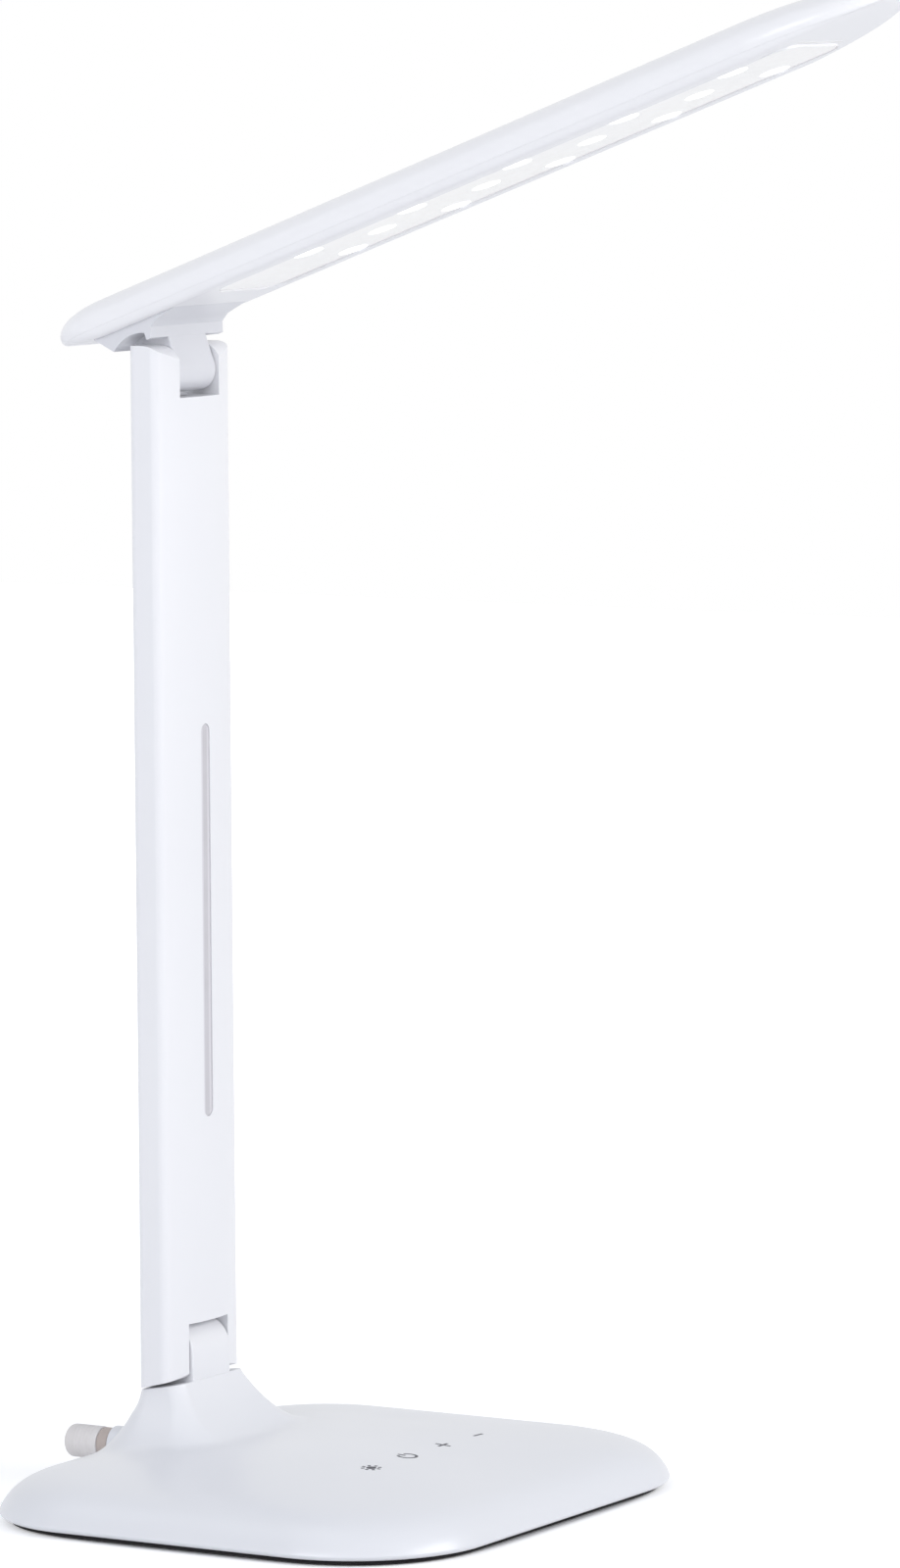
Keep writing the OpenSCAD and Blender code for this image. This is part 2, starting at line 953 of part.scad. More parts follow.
function head_top(t, thick, cut) =
  head_low + head_mid + (thick - head_mid - cut) * (0.1 + 0.9 * end_share(t, profile_power));

// Height of the crown at a distance x from the middle and d from the nearer end
function crown_at(x, d, round_len, thick, cut) =
  let (
    t = min((d - cut) / round_len, 1),
    mid = head_low + head_mid,
    side = min(abs(x) / ((head_half - cut) * end_share(t, plan_power)), 1)
  )
  mid + (head_top(t, thick, cut) - mid) * sqrt(1 - pow(side, section_power));

module head_section(t, thick, cut) {
  low = head_low + cut;
  mid = head_low + head_mid;
  share = end_share(t, plan_power);
  half = (head_half - cut) * share;
  top = head_top(t, thick, cut);
  points = section_points(half, mid, top, low + (mid - low) * sqrt(1 - share));
  rotate([90, 0, 0])
    linear_extrude(slice_t)
      polygon(concat(points, [for (i = [len(points) - 1 : -1 : 0]) [-points[i][0], points[i][1]]]));
}

module head_solid(cut) {
  hull() {
    for (t = head_stations) {
      translate([0, head_tail - cut - t * tail_round, 0])
        head_section(t, tail_thick, cut);
      translate([0, -head_tip + cut + t * tip_round, 0])
        head_section(t, head_thick, cut);
    }
  }
}

module head_slab(low, high) {
  translate([-head_w, -head_tip - 10, low])
    cube([2 * head_w, head_tip + head_tail + 20, high - low]);
}

module panel_outline(grow) {
  len = panel_end - panel_start;
  translate([0, -panel_start - len / 2])
    rounded_rect(2 * (panel_half + grow), len + 2 * grow, panel_corner_r + grow);
}

module rim_screw_places() {
  for (place = rim_screw_xy)
    translate([place[0], place[1], 0])
      children();
}

// Posts that end inside the wall of the crown
module head_posts() {
  for (place = rim_screw_xy)
    let (
      to_tip = head_tip + place[1],
      to_tail = head_tail - place[1],
      near_tip = to_tip < to_tail,
      top = near_tip
        ? crown_at(place[0], to_tip, tip_round, head_thick, head_wall / 2)
        : crown_at(place[0], to_tail, tail_round, tail_thick, head_wall / 2)
    )
    translate([place[0], place[1], split_n])
      cylinder(r = screw_r + boss_wall, h = top - split_n);
}

module head_shell() color(glossy_white)
  on_head()
    difference() {
      union() {
        difference() {
          head_solid(0);
          head_solid(head_wall);
          head_slab(0, split_n);
        }
        head_posts();
      }
      rim_screw_places()
        cylinder(r = screw_r, h = head_low + rim_screw_floor + rim_screw_len);
    }

module head_rim() color(glossy_white)
  on_head()
    difference() {
      intersection() {
        head_solid(0);
        head_slab(0, split_n);
      }
      difference() {
        head_solid(head_wall);
        head_slab(0, head_low + head_wall);
        head_slab(split_n + eps, split_n + head_thick);
        rim_frame();
      }
      translate([0, 0, head_low - panel_recess])
        linear_extrude(2 * panel_recess)
          panel_outline(-ledge);
      translate([0, 0, panel_low])
        linear_extrude(head_thick)
          panel_outline(panel_fit);
      rim_screw_places()
        rim_screw(0.1);
      translate([0, 0, head_low - panel_recess])
        cylinder(r = channel_r, h = head_thick);
      knuckle_screw_places()
        cylinder(r = screw_r + slip / 2, h = head_thick * 3);
    }

// Solid parts of the rim: the tail floor, the posts and the wall round the panel
module rim_frame() {
  translate([0, 0, head_low]) {
    linear_extrude(split_n - head_low)
      difference() {
        panel_outline(panel_frame_t);
        panel_outline(0);
      }
    rim_screw_places()
      cylinder(r = screw_r + boss_wall + 1, h = split_n - head_low);
  }
}

module rim_screw(grow) {
  head_top = rim_head_sink + rim_head_t;
  translate([0, 0, head_low + rim_screw_floor])
    cylinder(r = screw_r + grow, h = rim_screw_len);
  translate([0, 0, head_low + (grow > 0 ? -head_top : rim_head_sink)])
    cylinder(r = screw_head_r + grow, h = grow > 0 ? 2 * head_top : rim_head_t);
}

module rim_screws() color(steel)
  on_head()
    rim_screw_places()
      rim_screw(0);

module light_panel() color(panel_grey)
  on_head()
    translate([0, 0, panel_low])
      linear_extrude(panel_t)
        panel_outline(0);

module pair_places() {
  for (i = [0 : led_pairs - 1], x = [-1, 1])
    translate([x * led_half, -led_first - i * led_pitch, led_z])
      children();
}

module single_places() {
  for (i = [0 : led_pairs - 2])
    translate([0, -led_first - (i + 0.5) * led_pitch, led_z])
      children();
}

module cool_leds() color(cool_light)
  on_head()
    pair_places()
      cylinder(r = led_r, h = led_t);

module warm_leds() color(warm_light)
  on_head()
    single_places()
      cylinder(r = led_r, h = led_t);

module board_strip(z, t, grow) {
  translate([0, -(board_start + board_end) / 2, z])
    linear_extrude(t)
      rounded_rect(2 * (board_half + grow), board_end - board_start + 2 * grow, 2);
}

module led_board() color([0.93, 0.93, 0.92])
  on_head()
    board_strip(board_z, led_board_t, 0);

// Aluminium tray that carries the light board and stands on the panel
module light_spreader() color([0.78, 0.79, 0.8])
  on_head()
    difference() {
      union() {
        board_strip(spreader_z, spreader_t, 1.4);
        difference() {
          board_strip(led_z, spreader_z - led_z + eps, 1.4);
          board_strip(led_z - eps, spreader_z, slip);
        }
      }
      translate([0, -board_start - 5, head_low])
        cylinder(r = lead_r + 0.5, h = head_thick);
    }

module head_lead() color(black)
  on_head() {
    lead_z = spreader_z + spreader_t + lead_r + touch_gap;
    y_end = -board_start - 4;
    translate([0, 0, tongue_r + 1])
      cylinder(r = lead_r, h = lead_z - bend_r - tongue_r - 1);
    translate([0, -bend_r, lead_z - bend_r])
      rotate([0, -90, 0])
        elbow(bend_r);
    translate([0, 0, lead_z])
      y_rod(lead_r, y_end, -bend_r);
  }

// ---------- Knuckle ----------

module knuckle_screw_places() {
  for (x = [-1, 1])
    translate([x * knuckle_screw_x, 0, 0])
      children();
}

// Side outline with +X of the drawing towards the tail. The round cut clears
// the square back corners of the ears as the head is opened.
module knuckle_block_profile() {
  difference() {
    polygon([
      [knuckle_tail, head_low],
      [knuckle_back_s + 4, head_low - 2.2],
      [knuckle_back_s, knuckle_back_n],
      [0, knuckle_front_n],
      [-knuckle_front_s, knuckle_front_n],
      [-knuckle_front_s - 1, head_low - 3],
      [-knuckle_front_s - 4, head_low - 1.2],
      [-knuckle_front_s - 12, head_low]
    ]);
    intersection() {
      circle(knuckle_clear_r);
      translate([-knuckle_step_s, 0])
        square([2 * knuckle_clear_r, 2 * knuckle_clear_r]);
    }
  }
}

module knuckle_tongue_profile() {
  circle(tongue_r);
  polygon([
    [-tongue_r, 0],
    [tongue_r, 0],
    [tongue_r, head_low],
    [-tongue_r, head_low]
  ]);
}

module head_knuckle() color(glossy_white)
  on_head()
    difference() {
      union() {
        side_extrude(knuckle_half)
          knuckle_block_profile();
        side_extrude(tongue_half)
          knuckle_tongue_profile();
      }
      x_rod(bush_r, -tongue_half - 1, tongue_half + 1);
      cylinder(r = channel_r, h = head_thick * 2);
      knuckle_screw_places()
        knuckle_screw(0);
    }

// The head lies on the floor of the rim and the shank runs down into the knuckle
module knuckle_screw(grow) {
  translate([0, 0, knuckle_screw_low])
    cylinder(r = screw_r + grow, h = head_low + head_wall - knuckle_screw_low + eps);
  translate([0, 0, head_low + head_wall])
    cylinder(r = screw_head_r, h = 1.6);
}

module knuckle_screws() color(steel)
  on_head()
    knuckle_screw_places()
      knuckle_screw(0);

module upper_bushes()
  on_head()
    bushes();

base_shell();
base_plate();
foot_pads();
counterweight();
base_screws();
touch_board();
board_screws();
board_parts();
touch_springs();
gland_ring();
cord_gland();
base_lead();
lower_bushes();
lower_hinge_bracket();
lower_hinge_pins();
lower_washers();
arm_front_shell();
arm_rear_shell();
arm_inlay();
arm_screws();
arm_lead();
upper_hinge_bracket();
upper_hinge_pins();
upper_washers();
upper_bushes();
head_knuckle();
knuckle_screws();
head_shell();
head_rim();
rim_screws();
light_panel();
light_spreader();
led_board();
cool_leds();
warm_leds();
head_lead();
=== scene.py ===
import math

import bmesh
import bpy
import numpy as np
from mathutils import Matrix, Vector


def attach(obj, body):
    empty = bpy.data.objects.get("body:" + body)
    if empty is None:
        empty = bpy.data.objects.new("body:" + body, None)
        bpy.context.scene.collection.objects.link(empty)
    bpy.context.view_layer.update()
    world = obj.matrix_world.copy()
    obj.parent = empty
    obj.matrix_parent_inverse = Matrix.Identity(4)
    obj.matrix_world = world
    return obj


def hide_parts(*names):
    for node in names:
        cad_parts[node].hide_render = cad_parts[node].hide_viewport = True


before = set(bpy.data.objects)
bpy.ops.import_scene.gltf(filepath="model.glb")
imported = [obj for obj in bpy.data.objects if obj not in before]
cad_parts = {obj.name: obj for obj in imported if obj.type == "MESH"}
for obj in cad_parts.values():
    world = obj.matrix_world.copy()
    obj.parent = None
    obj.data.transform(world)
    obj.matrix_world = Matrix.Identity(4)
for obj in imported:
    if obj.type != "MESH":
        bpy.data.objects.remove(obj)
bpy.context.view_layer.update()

# ---------------------------------------------------------------- sizes, mm
MM = 0.001
ARM_Y, HINGE_Z, ARM_LEN = 58.3, 46.3, 321.0
BASE_W, BASE_D, FRONT_R, BACK_R = 200.0, 171.0, 46.0, 40.0
EDGE_Z, BASE_H, BASE_WALL = 3.4, 20.7, 2.4
DOME_FALL, DOME_POWER, DOME_ROOT = 0.43, 20, 1.2
PLATE_INSET, SHELL_LOW = 3.6, 1.7
ARM_W, ARM_T, CROWN_R, LONG_EDGE_R = 44.5, 17.4, 70.0, 3.2
EAR_R, EAR_CORNER_R, EAR_GAP = ARM_T / 2, 5.0, 0.35
NOTCH_HALF, LOW_NOTCH, TOP_NOTCH = 11.8, 9.7, 8.4
LEAD_WAY_R = 2.6
INLAY_LOW, INLAY_LEN, INLAY_R, INLAY_DEPTH = 77, 129, 2.6, 1.5
ARM_SCREWS = ((10, 42), (-10, 160), (10, 262))
ARM_SCREW_SEAT, ARM_SCREW_WAY_R = 2.6, 2.9
TONGUE_HALF, TONGUE_R = 11.2, 7.0
SHOULDER_FRONT, SHOULDER_BACK, SHOULDER_HALF = 9.1, 12.2, 8.9
NECK_FRONT, NECK_BACK, NECK_SIDE, NECK_CORNER_R = 6.4, 7.6, ARM_W / 2 - 3, 5
FLARE_FRONT, FLARE_BACK, FLARE_SIDE, FLARE_CORNER = 35, 20, 30, 20
NECK_ROUND, NECK_BLEND, NECK_LEVEL = 0.5, 1.6, 27
ENTRY_Z, ENTRY_Y, BOSS_Y, BOSS_R, SLEEVE_BORE = 11.3, 87.5, 72, 6.2, 2.2
HEAD_PITCH = math.radians(20.44)
HEAD_HALF, HEAD_TIP, HEAD_TAIL = 26.5, 289.0, 33.0
HEAD_LOW, HEAD_MID, HEAD_THICK, TAIL_THICK = 16.0, 5.0, 15.0, 13.8
HEAD_WALL, TIP_ROUND, TAIL_ROUND = 1.8, 48.0, 22.0
PLAN_POWER, SECTION_POWER = 2.3, 2.6
SPLIT_N, LOW_EDGE_IN, SEAM_GAP = 19.0, 3.2, 0.02
PANEL_START, PANEL_END, PANEL_LOW = 30.0, 259.0, 17.0
PANEL_HALF, PANEL_CORNER, WINDOW_LIP = 20.9, 9.0, 2.1
KNUCKLE_HALF, KNUCKLE_CLEAR_R = 21.65, 13.0
LED_FIRST, LED_PITCH, LED_HALF, LED_PAIRS = 68.2, 41.25, 13.6, 5
LENS_LEVEL, LENS_HEIGHT, COOL_LENS_R, WARM_LENS_R = 16.55, 0.3, 5.0, 4.8
KEY_ROW, KEY_PITCH, MARK_LINE = 32.0, 22.4, 1.0
SCREW_X, SCREW_Y, SCREW_Z = 70.0, 44.0, 0.9


# ---------------------------------------------------------------- mesh tools
def new_object(name, data):
    thing = bpy.data.objects.new(name, data)
    bpy.context.scene.collection.objects.link(thing)
    return thing


def piece_from(name, verts, faces, smooth=True):
    """Makes one piece from points in millimetres and a list of faces, with its faces turned outwards."""
    mesh = bpy.data.meshes.new(name)
    mesh.from_pydata([tuple(float(c) * MM for c in v) for v in verts], [], faces)
    piece = new_object(name, mesh)
    clean_mesh(piece)
    for polygon in mesh.polygons:
        polygon.use_smooth = smooth
    return piece


def edit_mesh(piece, change):
    bm = bmesh.new()
    bm.from_mesh(piece.data)
    change(bm)
    bm.to_mesh(piece.data)
    bm.free()


def clean_mesh(piece):
    """Joins points in the same place, drops empty faces and turns the faces outwards."""
    def change(bm):
        bmesh.ops.remove_doubles(bm, verts=bm.verts, dist=0.0005 * MM)
        bmesh.ops.dissolve_degenerate(bm, edges=bm.edges, dist=1e-8)
        bmesh.ops.recalc_face_normals(bm, faces=bm.faces)
    edit_mesh(piece, change)


class Parts:
    """Collects closed shells that make up one piece."""

    def __init__(self):
        self.verts, self.faces = [], []

    def add(self, verts, faces):
        start = len(self.verts)
        self.verts.extend([tuple(v) for v in verts])
        self.faces.extend([tuple(i + start for i in f) for f in faces])

    def rings(self, rings, closed=True):
        """Skins closed rings of the same length, and closes each end to its middle."""
        n = len(rings[0])
        verts = [p for ring in rings for p in ring]
        faces = []
        for a in range(0, (len(rings) - 1) * n, n):
            for i in range(n):
                j = (i + 1) % n
                faces.append((a + i, a + j, a + n + j, a + n + i))
        for k in (0, len(rings) - 1) if closed else ():
            verts.append(np.mean(np.asarray(rings[k]), axis=0))
            hub = len(verts) - 1
            faces += [(k * n + i, k * n + (i + 1) % n, hub) for i in range(n)]
        self.add(verts, faces)

    def hoop(self, rings):
        """Skins rings and joins the last to the first, for a body with a hole."""
        self.rings(list(rings) + [rings[0]], False)

    def piece(self, name, smooth=True):
        return piece_from(name, self.verts, self.faces, smooth)


def solid(name, rings):
    parts = Parts()
    parts.rings(rings)
    return parts.piece(name)


def bake(piece):
    """Bakes the piece's modifiers into its mesh."""
    graph = bpy.context.evaluated_depsgraph_get()
    mesh = bpy.data.meshes.new_from_object(piece.evaluated_get(graph))
    piece.modifiers.clear()
    piece.data = mesh
    return piece


def modify(piece, kind, **settings):
    modifier = piece.modifiers.new(kind.lower(), kind)
    for name, value in settings.items():
        setattr(modifier, name, value)
    return bake(piece)


def cut(piece, cutter, how="DIFFERENCE"):
    modify(piece, "BOOLEAN", operation=how, solver="EXACT", object=cutter)
    bpy.data.objects.remove(cutter)


def is_sharp(edge, angle):
    return len(edge.link_faces) == 2 and edge.calc_face_angle(0.0) > math.radians(angle)


def round_edges(piece, width, seam=None):
    """Rounds the sharp edges. Edges for which seam(a, b) is true get a small share of the width."""
    clean_mesh(piece)

    def change(bm):
        layers = bm.edges.layers.float
        layer = layers.get("bevel_weight_edge") or layers.new("bevel_weight_edge")
        for edge in bm.edges:
            weight = 1.0 if is_sharp(edge, 32.0) else 0.0
            if weight and seam is not None and seam(*(vert.co / MM for vert in edge.verts)):
                weight = 0.16
            edge[layer] = weight

    edit_mesh(piece, change)
    modify(piece, "BEVEL", width=width * MM, segments=3, limit_method="WEIGHT", use_clamp_overlap=True,
           harden_normals=False, miter_outer="MITER_ARC")
    return shade(piece, 40)


def shade(piece, angle):
    """Smooth shading with creases only at edges sharper than the angle."""
    def change(bm):
        for face in bm.faces:
            face.smooth = True
        for edge in bm.edges:
            edge.smooth = not is_sharp(edge, angle)

    edit_mesh(piece, change)
    return modify(piece, "WEIGHTED_NORMAL", keep_sharp=True, weight=80)


def lathe(profile, count, spot):
    """Rings round a line; spot(across, over, along) puts a point of a ring in its place."""
    angles = np.linspace(0, 2 * math.pi, count, endpoint=False)
    return [[spot(r * math.cos(a), r * math.sin(a), s) for a in angles] for s, r in profile]


def lathe_y(profile, x, z, count=96):
    """Rings round a line along Y; the profile holds (y, radius) pairs."""
    return lathe(profile, count, lambda u, v, s: (x + u, s, z + v))


def lathe_z(profile, count):
    """Rings round the upright line through the origin; the profile holds (z, radius) pairs."""
    return lathe(profile, count, lambda u, v, s: (u, v, s))


def prism_x(outline, half, fillet, steps=4):
    """Rings of a bar along X from a (y, z) outline, with its two ends rounded over."""
    outline = np.asarray(outline, float)
    ahead, behind = np.roll(outline, -1, axis=0), np.roll(outline, 1, axis=0)
    tangent = ahead - behind
    tangent /= np.linalg.norm(tangent, axis=1)[:, None]
    area = 0.5 * np.sum(outline[:, 0] * ahead[:, 1] - ahead[:, 0] * outline[:, 1])
    inward = np.stack([-tangent[:, 1], tangent[:, 0]], 1) * (1 if area > 0 else -1)
    turn = [i / steps * math.pi / 2 for i in range(steps + 1)]
    stations = [(-half + fillet * (1 - math.sin(a)), fillet * (1 - math.cos(a))) for a in reversed(turn)]
    stations += [(half - fillet * (1 - math.sin(a)), fillet * (1 - math.cos(a))) for a in turn]
    return [[(x, p[0], p[1]) for p in outline + inward * inset] for x, inset in stations]


def bar_x(outline, half):
    """A straight bar along X from a (y, z) outline that may be hollow on one side."""
    n = len(outline)
    verts = [(x, p[0], p[1]) for x in (-half, half) for p in outline]
    faces = [(i, (i + 1) % n, n + (i + 1) % n, n + i) for i in range(n)]
    return verts, faces + [tuple(reversed(range(n))), tuple(range(n, 2 * n))]


def block(name, x, y, z):
    """Box between two limits on each axis."""
    spots = [(x[0], y[0]), (x[1], y[0]), (x[1], y[1]), (x[0], y[1])]
    faces = [(0, 3, 2, 1), (4, 5, 6, 7), (0, 1, 5, 4), (1, 2, 6, 5), (2, 3, 7, 6), (3, 0, 4, 7)]
    return piece_from(name, [(*spot, h) for h in z for spot in spots], faces, False)


def arc(cx, cy, r, start, end, count):
    return [(cx + r * math.cos(a), cy + r * math.sin(a)) for a in np.radians(np.linspace(start, end, count))]


def resample(outline, count):
    """Spreads points evenly along a closed outline and keeps its corners."""
    p = np.asarray(outline, float)
    loop = np.vstack([p, p[:1]])
    length = np.linalg.norm(np.diff(loop, axis=0), axis=1)
    result = []
    for i in range(len(p)):
        pieces = max(1, int(round(length[i] / length.sum() * count)))
        result += [tuple(loop[i] + (loop[i + 1] - loop[i]) * k / pieces) for k in range(pieces)]
    return result


def halve(test, low, high, rounds):
    """Closes in on the place between low and high where the test turns from true to false."""
    for _ in range(rounds):
        mid = (low + high) / 2
        holds = test(mid)
        low, high = np.where(holds, mid, low), np.where(holds, high, mid)
    return low, high


def on_head(points):
    """Takes points of the head frame (x, towards the tail, up) to the row frame."""
    p = np.atleast_2d(np.asarray(points, float))
    c, s = math.cos(HEAD_PITCH), math.sin(HEAD_PITCH)
    y = ARM_Y + p[:, 1] * c + p[:, 2] * s
    z = HINGE_Z + ARM_LEN - p[:, 1] * s + p[:, 2] * c
    return np.stack([p[:, 0], y, z], 1)


def head_piece(parts, name):
    """Piece from shells that are laid out in the head frame."""
    parts.verts = [tuple(v) for v in on_head(parts.verts)]
    return parts.piece(name)


# ---------------------------------------------------------------- base shape
def rounded_distance(x, y, w, d, front_r, back_r):
    """Distance from a rounded rectangle, negative inside it."""
    r = np.where(y < 0, front_r, back_r)
    qx, qy = np.abs(x) - (w / 2 - r), np.abs(y) - (d / 2 - r)
    return np.hypot(np.maximum(qx, 0), np.maximum(qy, 0)) + np.minimum(np.maximum(qx, qy), 0) - r


def base_distance(x, y, inset):
    return rounded_distance(x, y, BASE_W - 2 * inset, BASE_D - 2 * inset, FRONT_R - inset, BACK_R - inset)


def reach(distance, angles):
    """Where rays from the middle of the neck leave the outline given by its distance function."""
    cos_a, sin_a = np.cos(angles), np.sin(angles)

    def inside(r):
        return distance(r * cos_a, ARM_Y + r * sin_a) < 0

    r = halve(inside, np.zeros_like(angles), np.full_like(angles, 400.0), 48)[0]
    return np.stack([r * cos_a, ARM_Y + r * sin_a], 1)


def base_share(x, y, cut_in=0.0):
    """1 on the widest line of the base and 0 in its middle."""
    def outside(share):
        return base_distance(x / share, y / share, cut_in) >= 0

    low, high = halve(outside, np.full(np.shape(x), 1e-4), np.full(np.shape(x), 1.5), 44)
    return (low + high) / 2


def dome_height(share, cut_in=0.0):
    share = np.minimum(share, 1.0)
    rise = (1 - DOME_FALL * share**2) * np.power(np.maximum(1 - share**DOME_POWER, 0), 1 / DOME_ROOT)
    return EDGE_Z + (BASE_H - cut_in - EDGE_Z) * rise


def dome_at(x, y):
    return dome_height(base_share(np.asarray(x, float), np.asarray(y, float)))


def flare(r, h):
    """How far a quarter round of radius r stands out at a height h over its foot."""
    return 0.0 if h >= r else r - math.sqrt(r * r - (r - h) ** 2)


def smooth_top(a, b, k):
    """The higher of two surfaces with their meeting line blended over k."""
    h = np.maximum(k - np.abs(a - b), 0) / k
    return np.maximum(a, b) + h * h * k / 4


def shoulder_height(y):
    front = ARM_Y - SHOULDER_HALF
    return HINGE_Z - SHOULDER_FRONT - (y - front) * (SHOULDER_BACK - SHOULDER_FRONT) / (2 * SHOULDER_HALF)


def neck_ring(h, angles, inset=0.0):
    front = NECK_FRONT + flare(FLARE_FRONT, max(h, 0)) - inset
    back = NECK_BACK + flare(FLARE_BACK, h + 2) - inset
    side = NECK_SIDE + flare(FLARE_SIDE, max(h, 0)) - inset
    r = NECK_CORNER_R + flare(FLARE_CORNER, h) - inset
    centre_y = ARM_Y + (back - front) / 2
    return reach(lambda x, y: rounded_distance(x, y - centre_y, 2 * side, front + back, r, r), angles)


def make_base_top():
    """Neck and dome in one skin, turned in under the edge, with the tongue and the boss for the cord."""
    angles = np.linspace(0, 2 * math.pi, 448, endpoint=False)
    foot, top = BASE_H - 4.4, HINGE_Z - SHOULDER_FRONT + 0.1
    span = top - foot
    rings = []

    def level(points, heights):
        rings.append(np.column_stack([points, np.broadcast_to(heights, len(points))]))

    def surface(points, h):
        dome = dome_at(points[:, 0], points[:, 1])
        low = np.minimum(dome - foot - 1, 0) * (1 - h / span) ** 3
        z = smooth_top(foot + h + low, dome, NECK_BLEND)
        lift = shoulder_height(points[:, 1]) - NECK_ROUND
        raised = NECK_LEVEL + (z - NECK_LEVEL) * (lift - NECK_LEVEL) / (top - NECK_LEVEL)
        return np.where(z > NECK_LEVEL, raised, z)

    def base_ring(inset):
        return reach(lambda x, y: base_distance(x, y, inset), angles)

    hub = np.array([0, ARM_Y])
    edge = neck_ring(span, angles, NECK_ROUND)
    for share in (0.02, 0.5):
        p = hub + (edge - hub) * share
        level(p, shoulder_height(p[:, 1]))
    for a in np.radians((90, 60, 30)):
        p = neck_ring(span, angles, NECK_ROUND * (1 - math.cos(a)))
        level(p, shoulder_height(p[:, 1]) - NECK_ROUND * (1 - math.sin(a)))
    for h in span * (1 - np.linspace(0, 1, 44)):
        p = neck_ring(h, angles)
        level(p, surface(p, h))
    inner, outer = neck_ring(0.0, angles), base_ring(0.0)
    for t in 1 - (1 - np.linspace(0, 1, 64)[1:]) ** 2.1:
        p = inner + (outer - inner) * t
        level(p, surface(p, 0.0) if t < 1 else EDGE_Z)
    for a in np.radians(np.linspace(0, 90, 9)[1:]):
        level(base_ring(PLATE_INSET * (1 - math.cos(a))), EDGE_Z - (EDGE_Z - SHELL_LOW) * math.sin(a))
    level(base_ring(PLATE_INSET + BASE_WALL), SHELL_LOW)
    inside = base_ring(BASE_WALL)
    for t in 1 - (1 - np.linspace(1, 0.03, 26)) ** 1.6 * 0.97:
        p = hub + (inside - hub) * t
        level(p, dome_height(base_share(p[:, 0], p[:, 1], BASE_WALL), BASE_WALL))
    parts = Parts()
    parts.rings(rings)

    # Tongue between the ears of the arm
    outline = arc(0, 0, EAR_R, 180, 0, 41)
    outline += [(SHOULDER_HALF, -SHOULDER_BACK), (SHOULDER_HALF, -SHOULDER_BACK - 3)]
    outline += [(-SHOULDER_HALF, -SHOULDER_FRONT - 4), (-SHOULDER_HALF, -SHOULDER_FRONT)]
    parts.rings(prism_x([(ARM_Y + p[0], HINGE_Z + p[1]) for p in resample(outline, 120)], TONGUE_HALF, 0.5))

    # Boss behind the neck for the cord
    boss = [(BOSS_Y, SLEEVE_BORE), (BOSS_Y, BOSS_R)]
    lip = ((0.5, 0), (0.35, 0.04), (0.15, 0.2), (0, 0.5))
    boss += [(ENTRY_Y - back, BOSS_R - down) for back, down in lip]
    parts.hoop(lathe_y(boss + [(ENTRY_Y, SLEEVE_BORE)], 0, ENTRY_Z))
    return parts.piece("base_top")


# ---------------------------------------------------------------- arm
def arm_outline(inset=0.0):
    """Seen along the arm: crowned front and back with rounded long edges."""
    half_w, half_t, crown = ARM_W / 2 - inset, ARM_T / 2 - inset, CROWN_R - inset
    cx = half_w - LONG_EDGE_R
    far = math.sqrt((crown - LONG_EDGE_R) ** 2 - cx**2)
    cy = far - (crown - half_t)
    turn = math.degrees(math.atan2(far, cx))
    points = arc(cx, cy, LONG_EDGE_R, 0, turn, 8)
    points += arc(0, half_t - crown, crown, turn, 180 - turn, 30)[1:-1]
    points += arc(-cx, cy, LONG_EDGE_R, 180 - turn, 180, 8)
    points += arc(-cx, -cy, LONG_EDGE_R, 180, 180 + turn, 8)
    points += arc(0, crown - half_t, crown, 180 + turn, 360 - turn, 30)[1:-1]
    return points + arc(cx, -cy, LONG_EDGE_R, 360 - turn, 360, 8)


def column(name, outline, low, high):
    """Upright bar with the outline, between two heights over the lower hinge."""
    return solid(name, [[(x, ARM_Y + y, HINGE_Z + z) for x, y in outline] for z in (low, high)])


def inlay_slot(name, r, depth):
    """Round-ended slot from in front of the arm to a depth behind the front of its crown."""
    slot = arc(0, INLAY_LOW + INLAY_LEN - INLAY_R, r, 0, 180, 17)
    slot += arc(0, INLAY_LOW + INLAY_R, r, 180, 360, 17)
    front = ARM_Y - EAR_R
    return solid(name, [[(x, y, HINGE_Z + z) for x, z in slot] for y in (front - 2, front + depth)])


def arm_side():
    """Side view: round ears on top, and a lower end that clears the neck's shoulder when it folds."""
    drop = SHOULDER_BACK - EAR_GAP
    slope = (SHOULDER_BACK - SHOULDER_FRONT) / (2 * SHOULDER_HALF)
    near = (SHOULDER_BACK + SHOULDER_FRONT) / 2 * math.cos(math.atan(slope)) - EAR_GAP
    corner_y = EAR_R - EAR_CORNER_R
    corner_z = math.sqrt((near - EAR_CORNER_R) ** 2 - corner_y**2)
    run = (EAR_R + corner_y, corner_z - drop)
    touch = math.degrees(math.atan2(run[1], run[0]) - math.acos(EAR_CORNER_R / math.hypot(*run)))
    side = [(EAR_R, -drop), (EAR_R + 2, -drop), (EAR_R + 2, ARM_LEN + EAR_R), (EAR_R, ARM_LEN + EAR_R)]
    side += arc(0, ARM_LEN, EAR_R, 90, 172, 26)
    side += [(-EAR_R - 2, ARM_LEN - 6), (-EAR_R - 2, -corner_z + 4)]
    return side + arc(-corner_y, -corner_z, EAR_CORNER_R, 190, 360 + touch, 18)


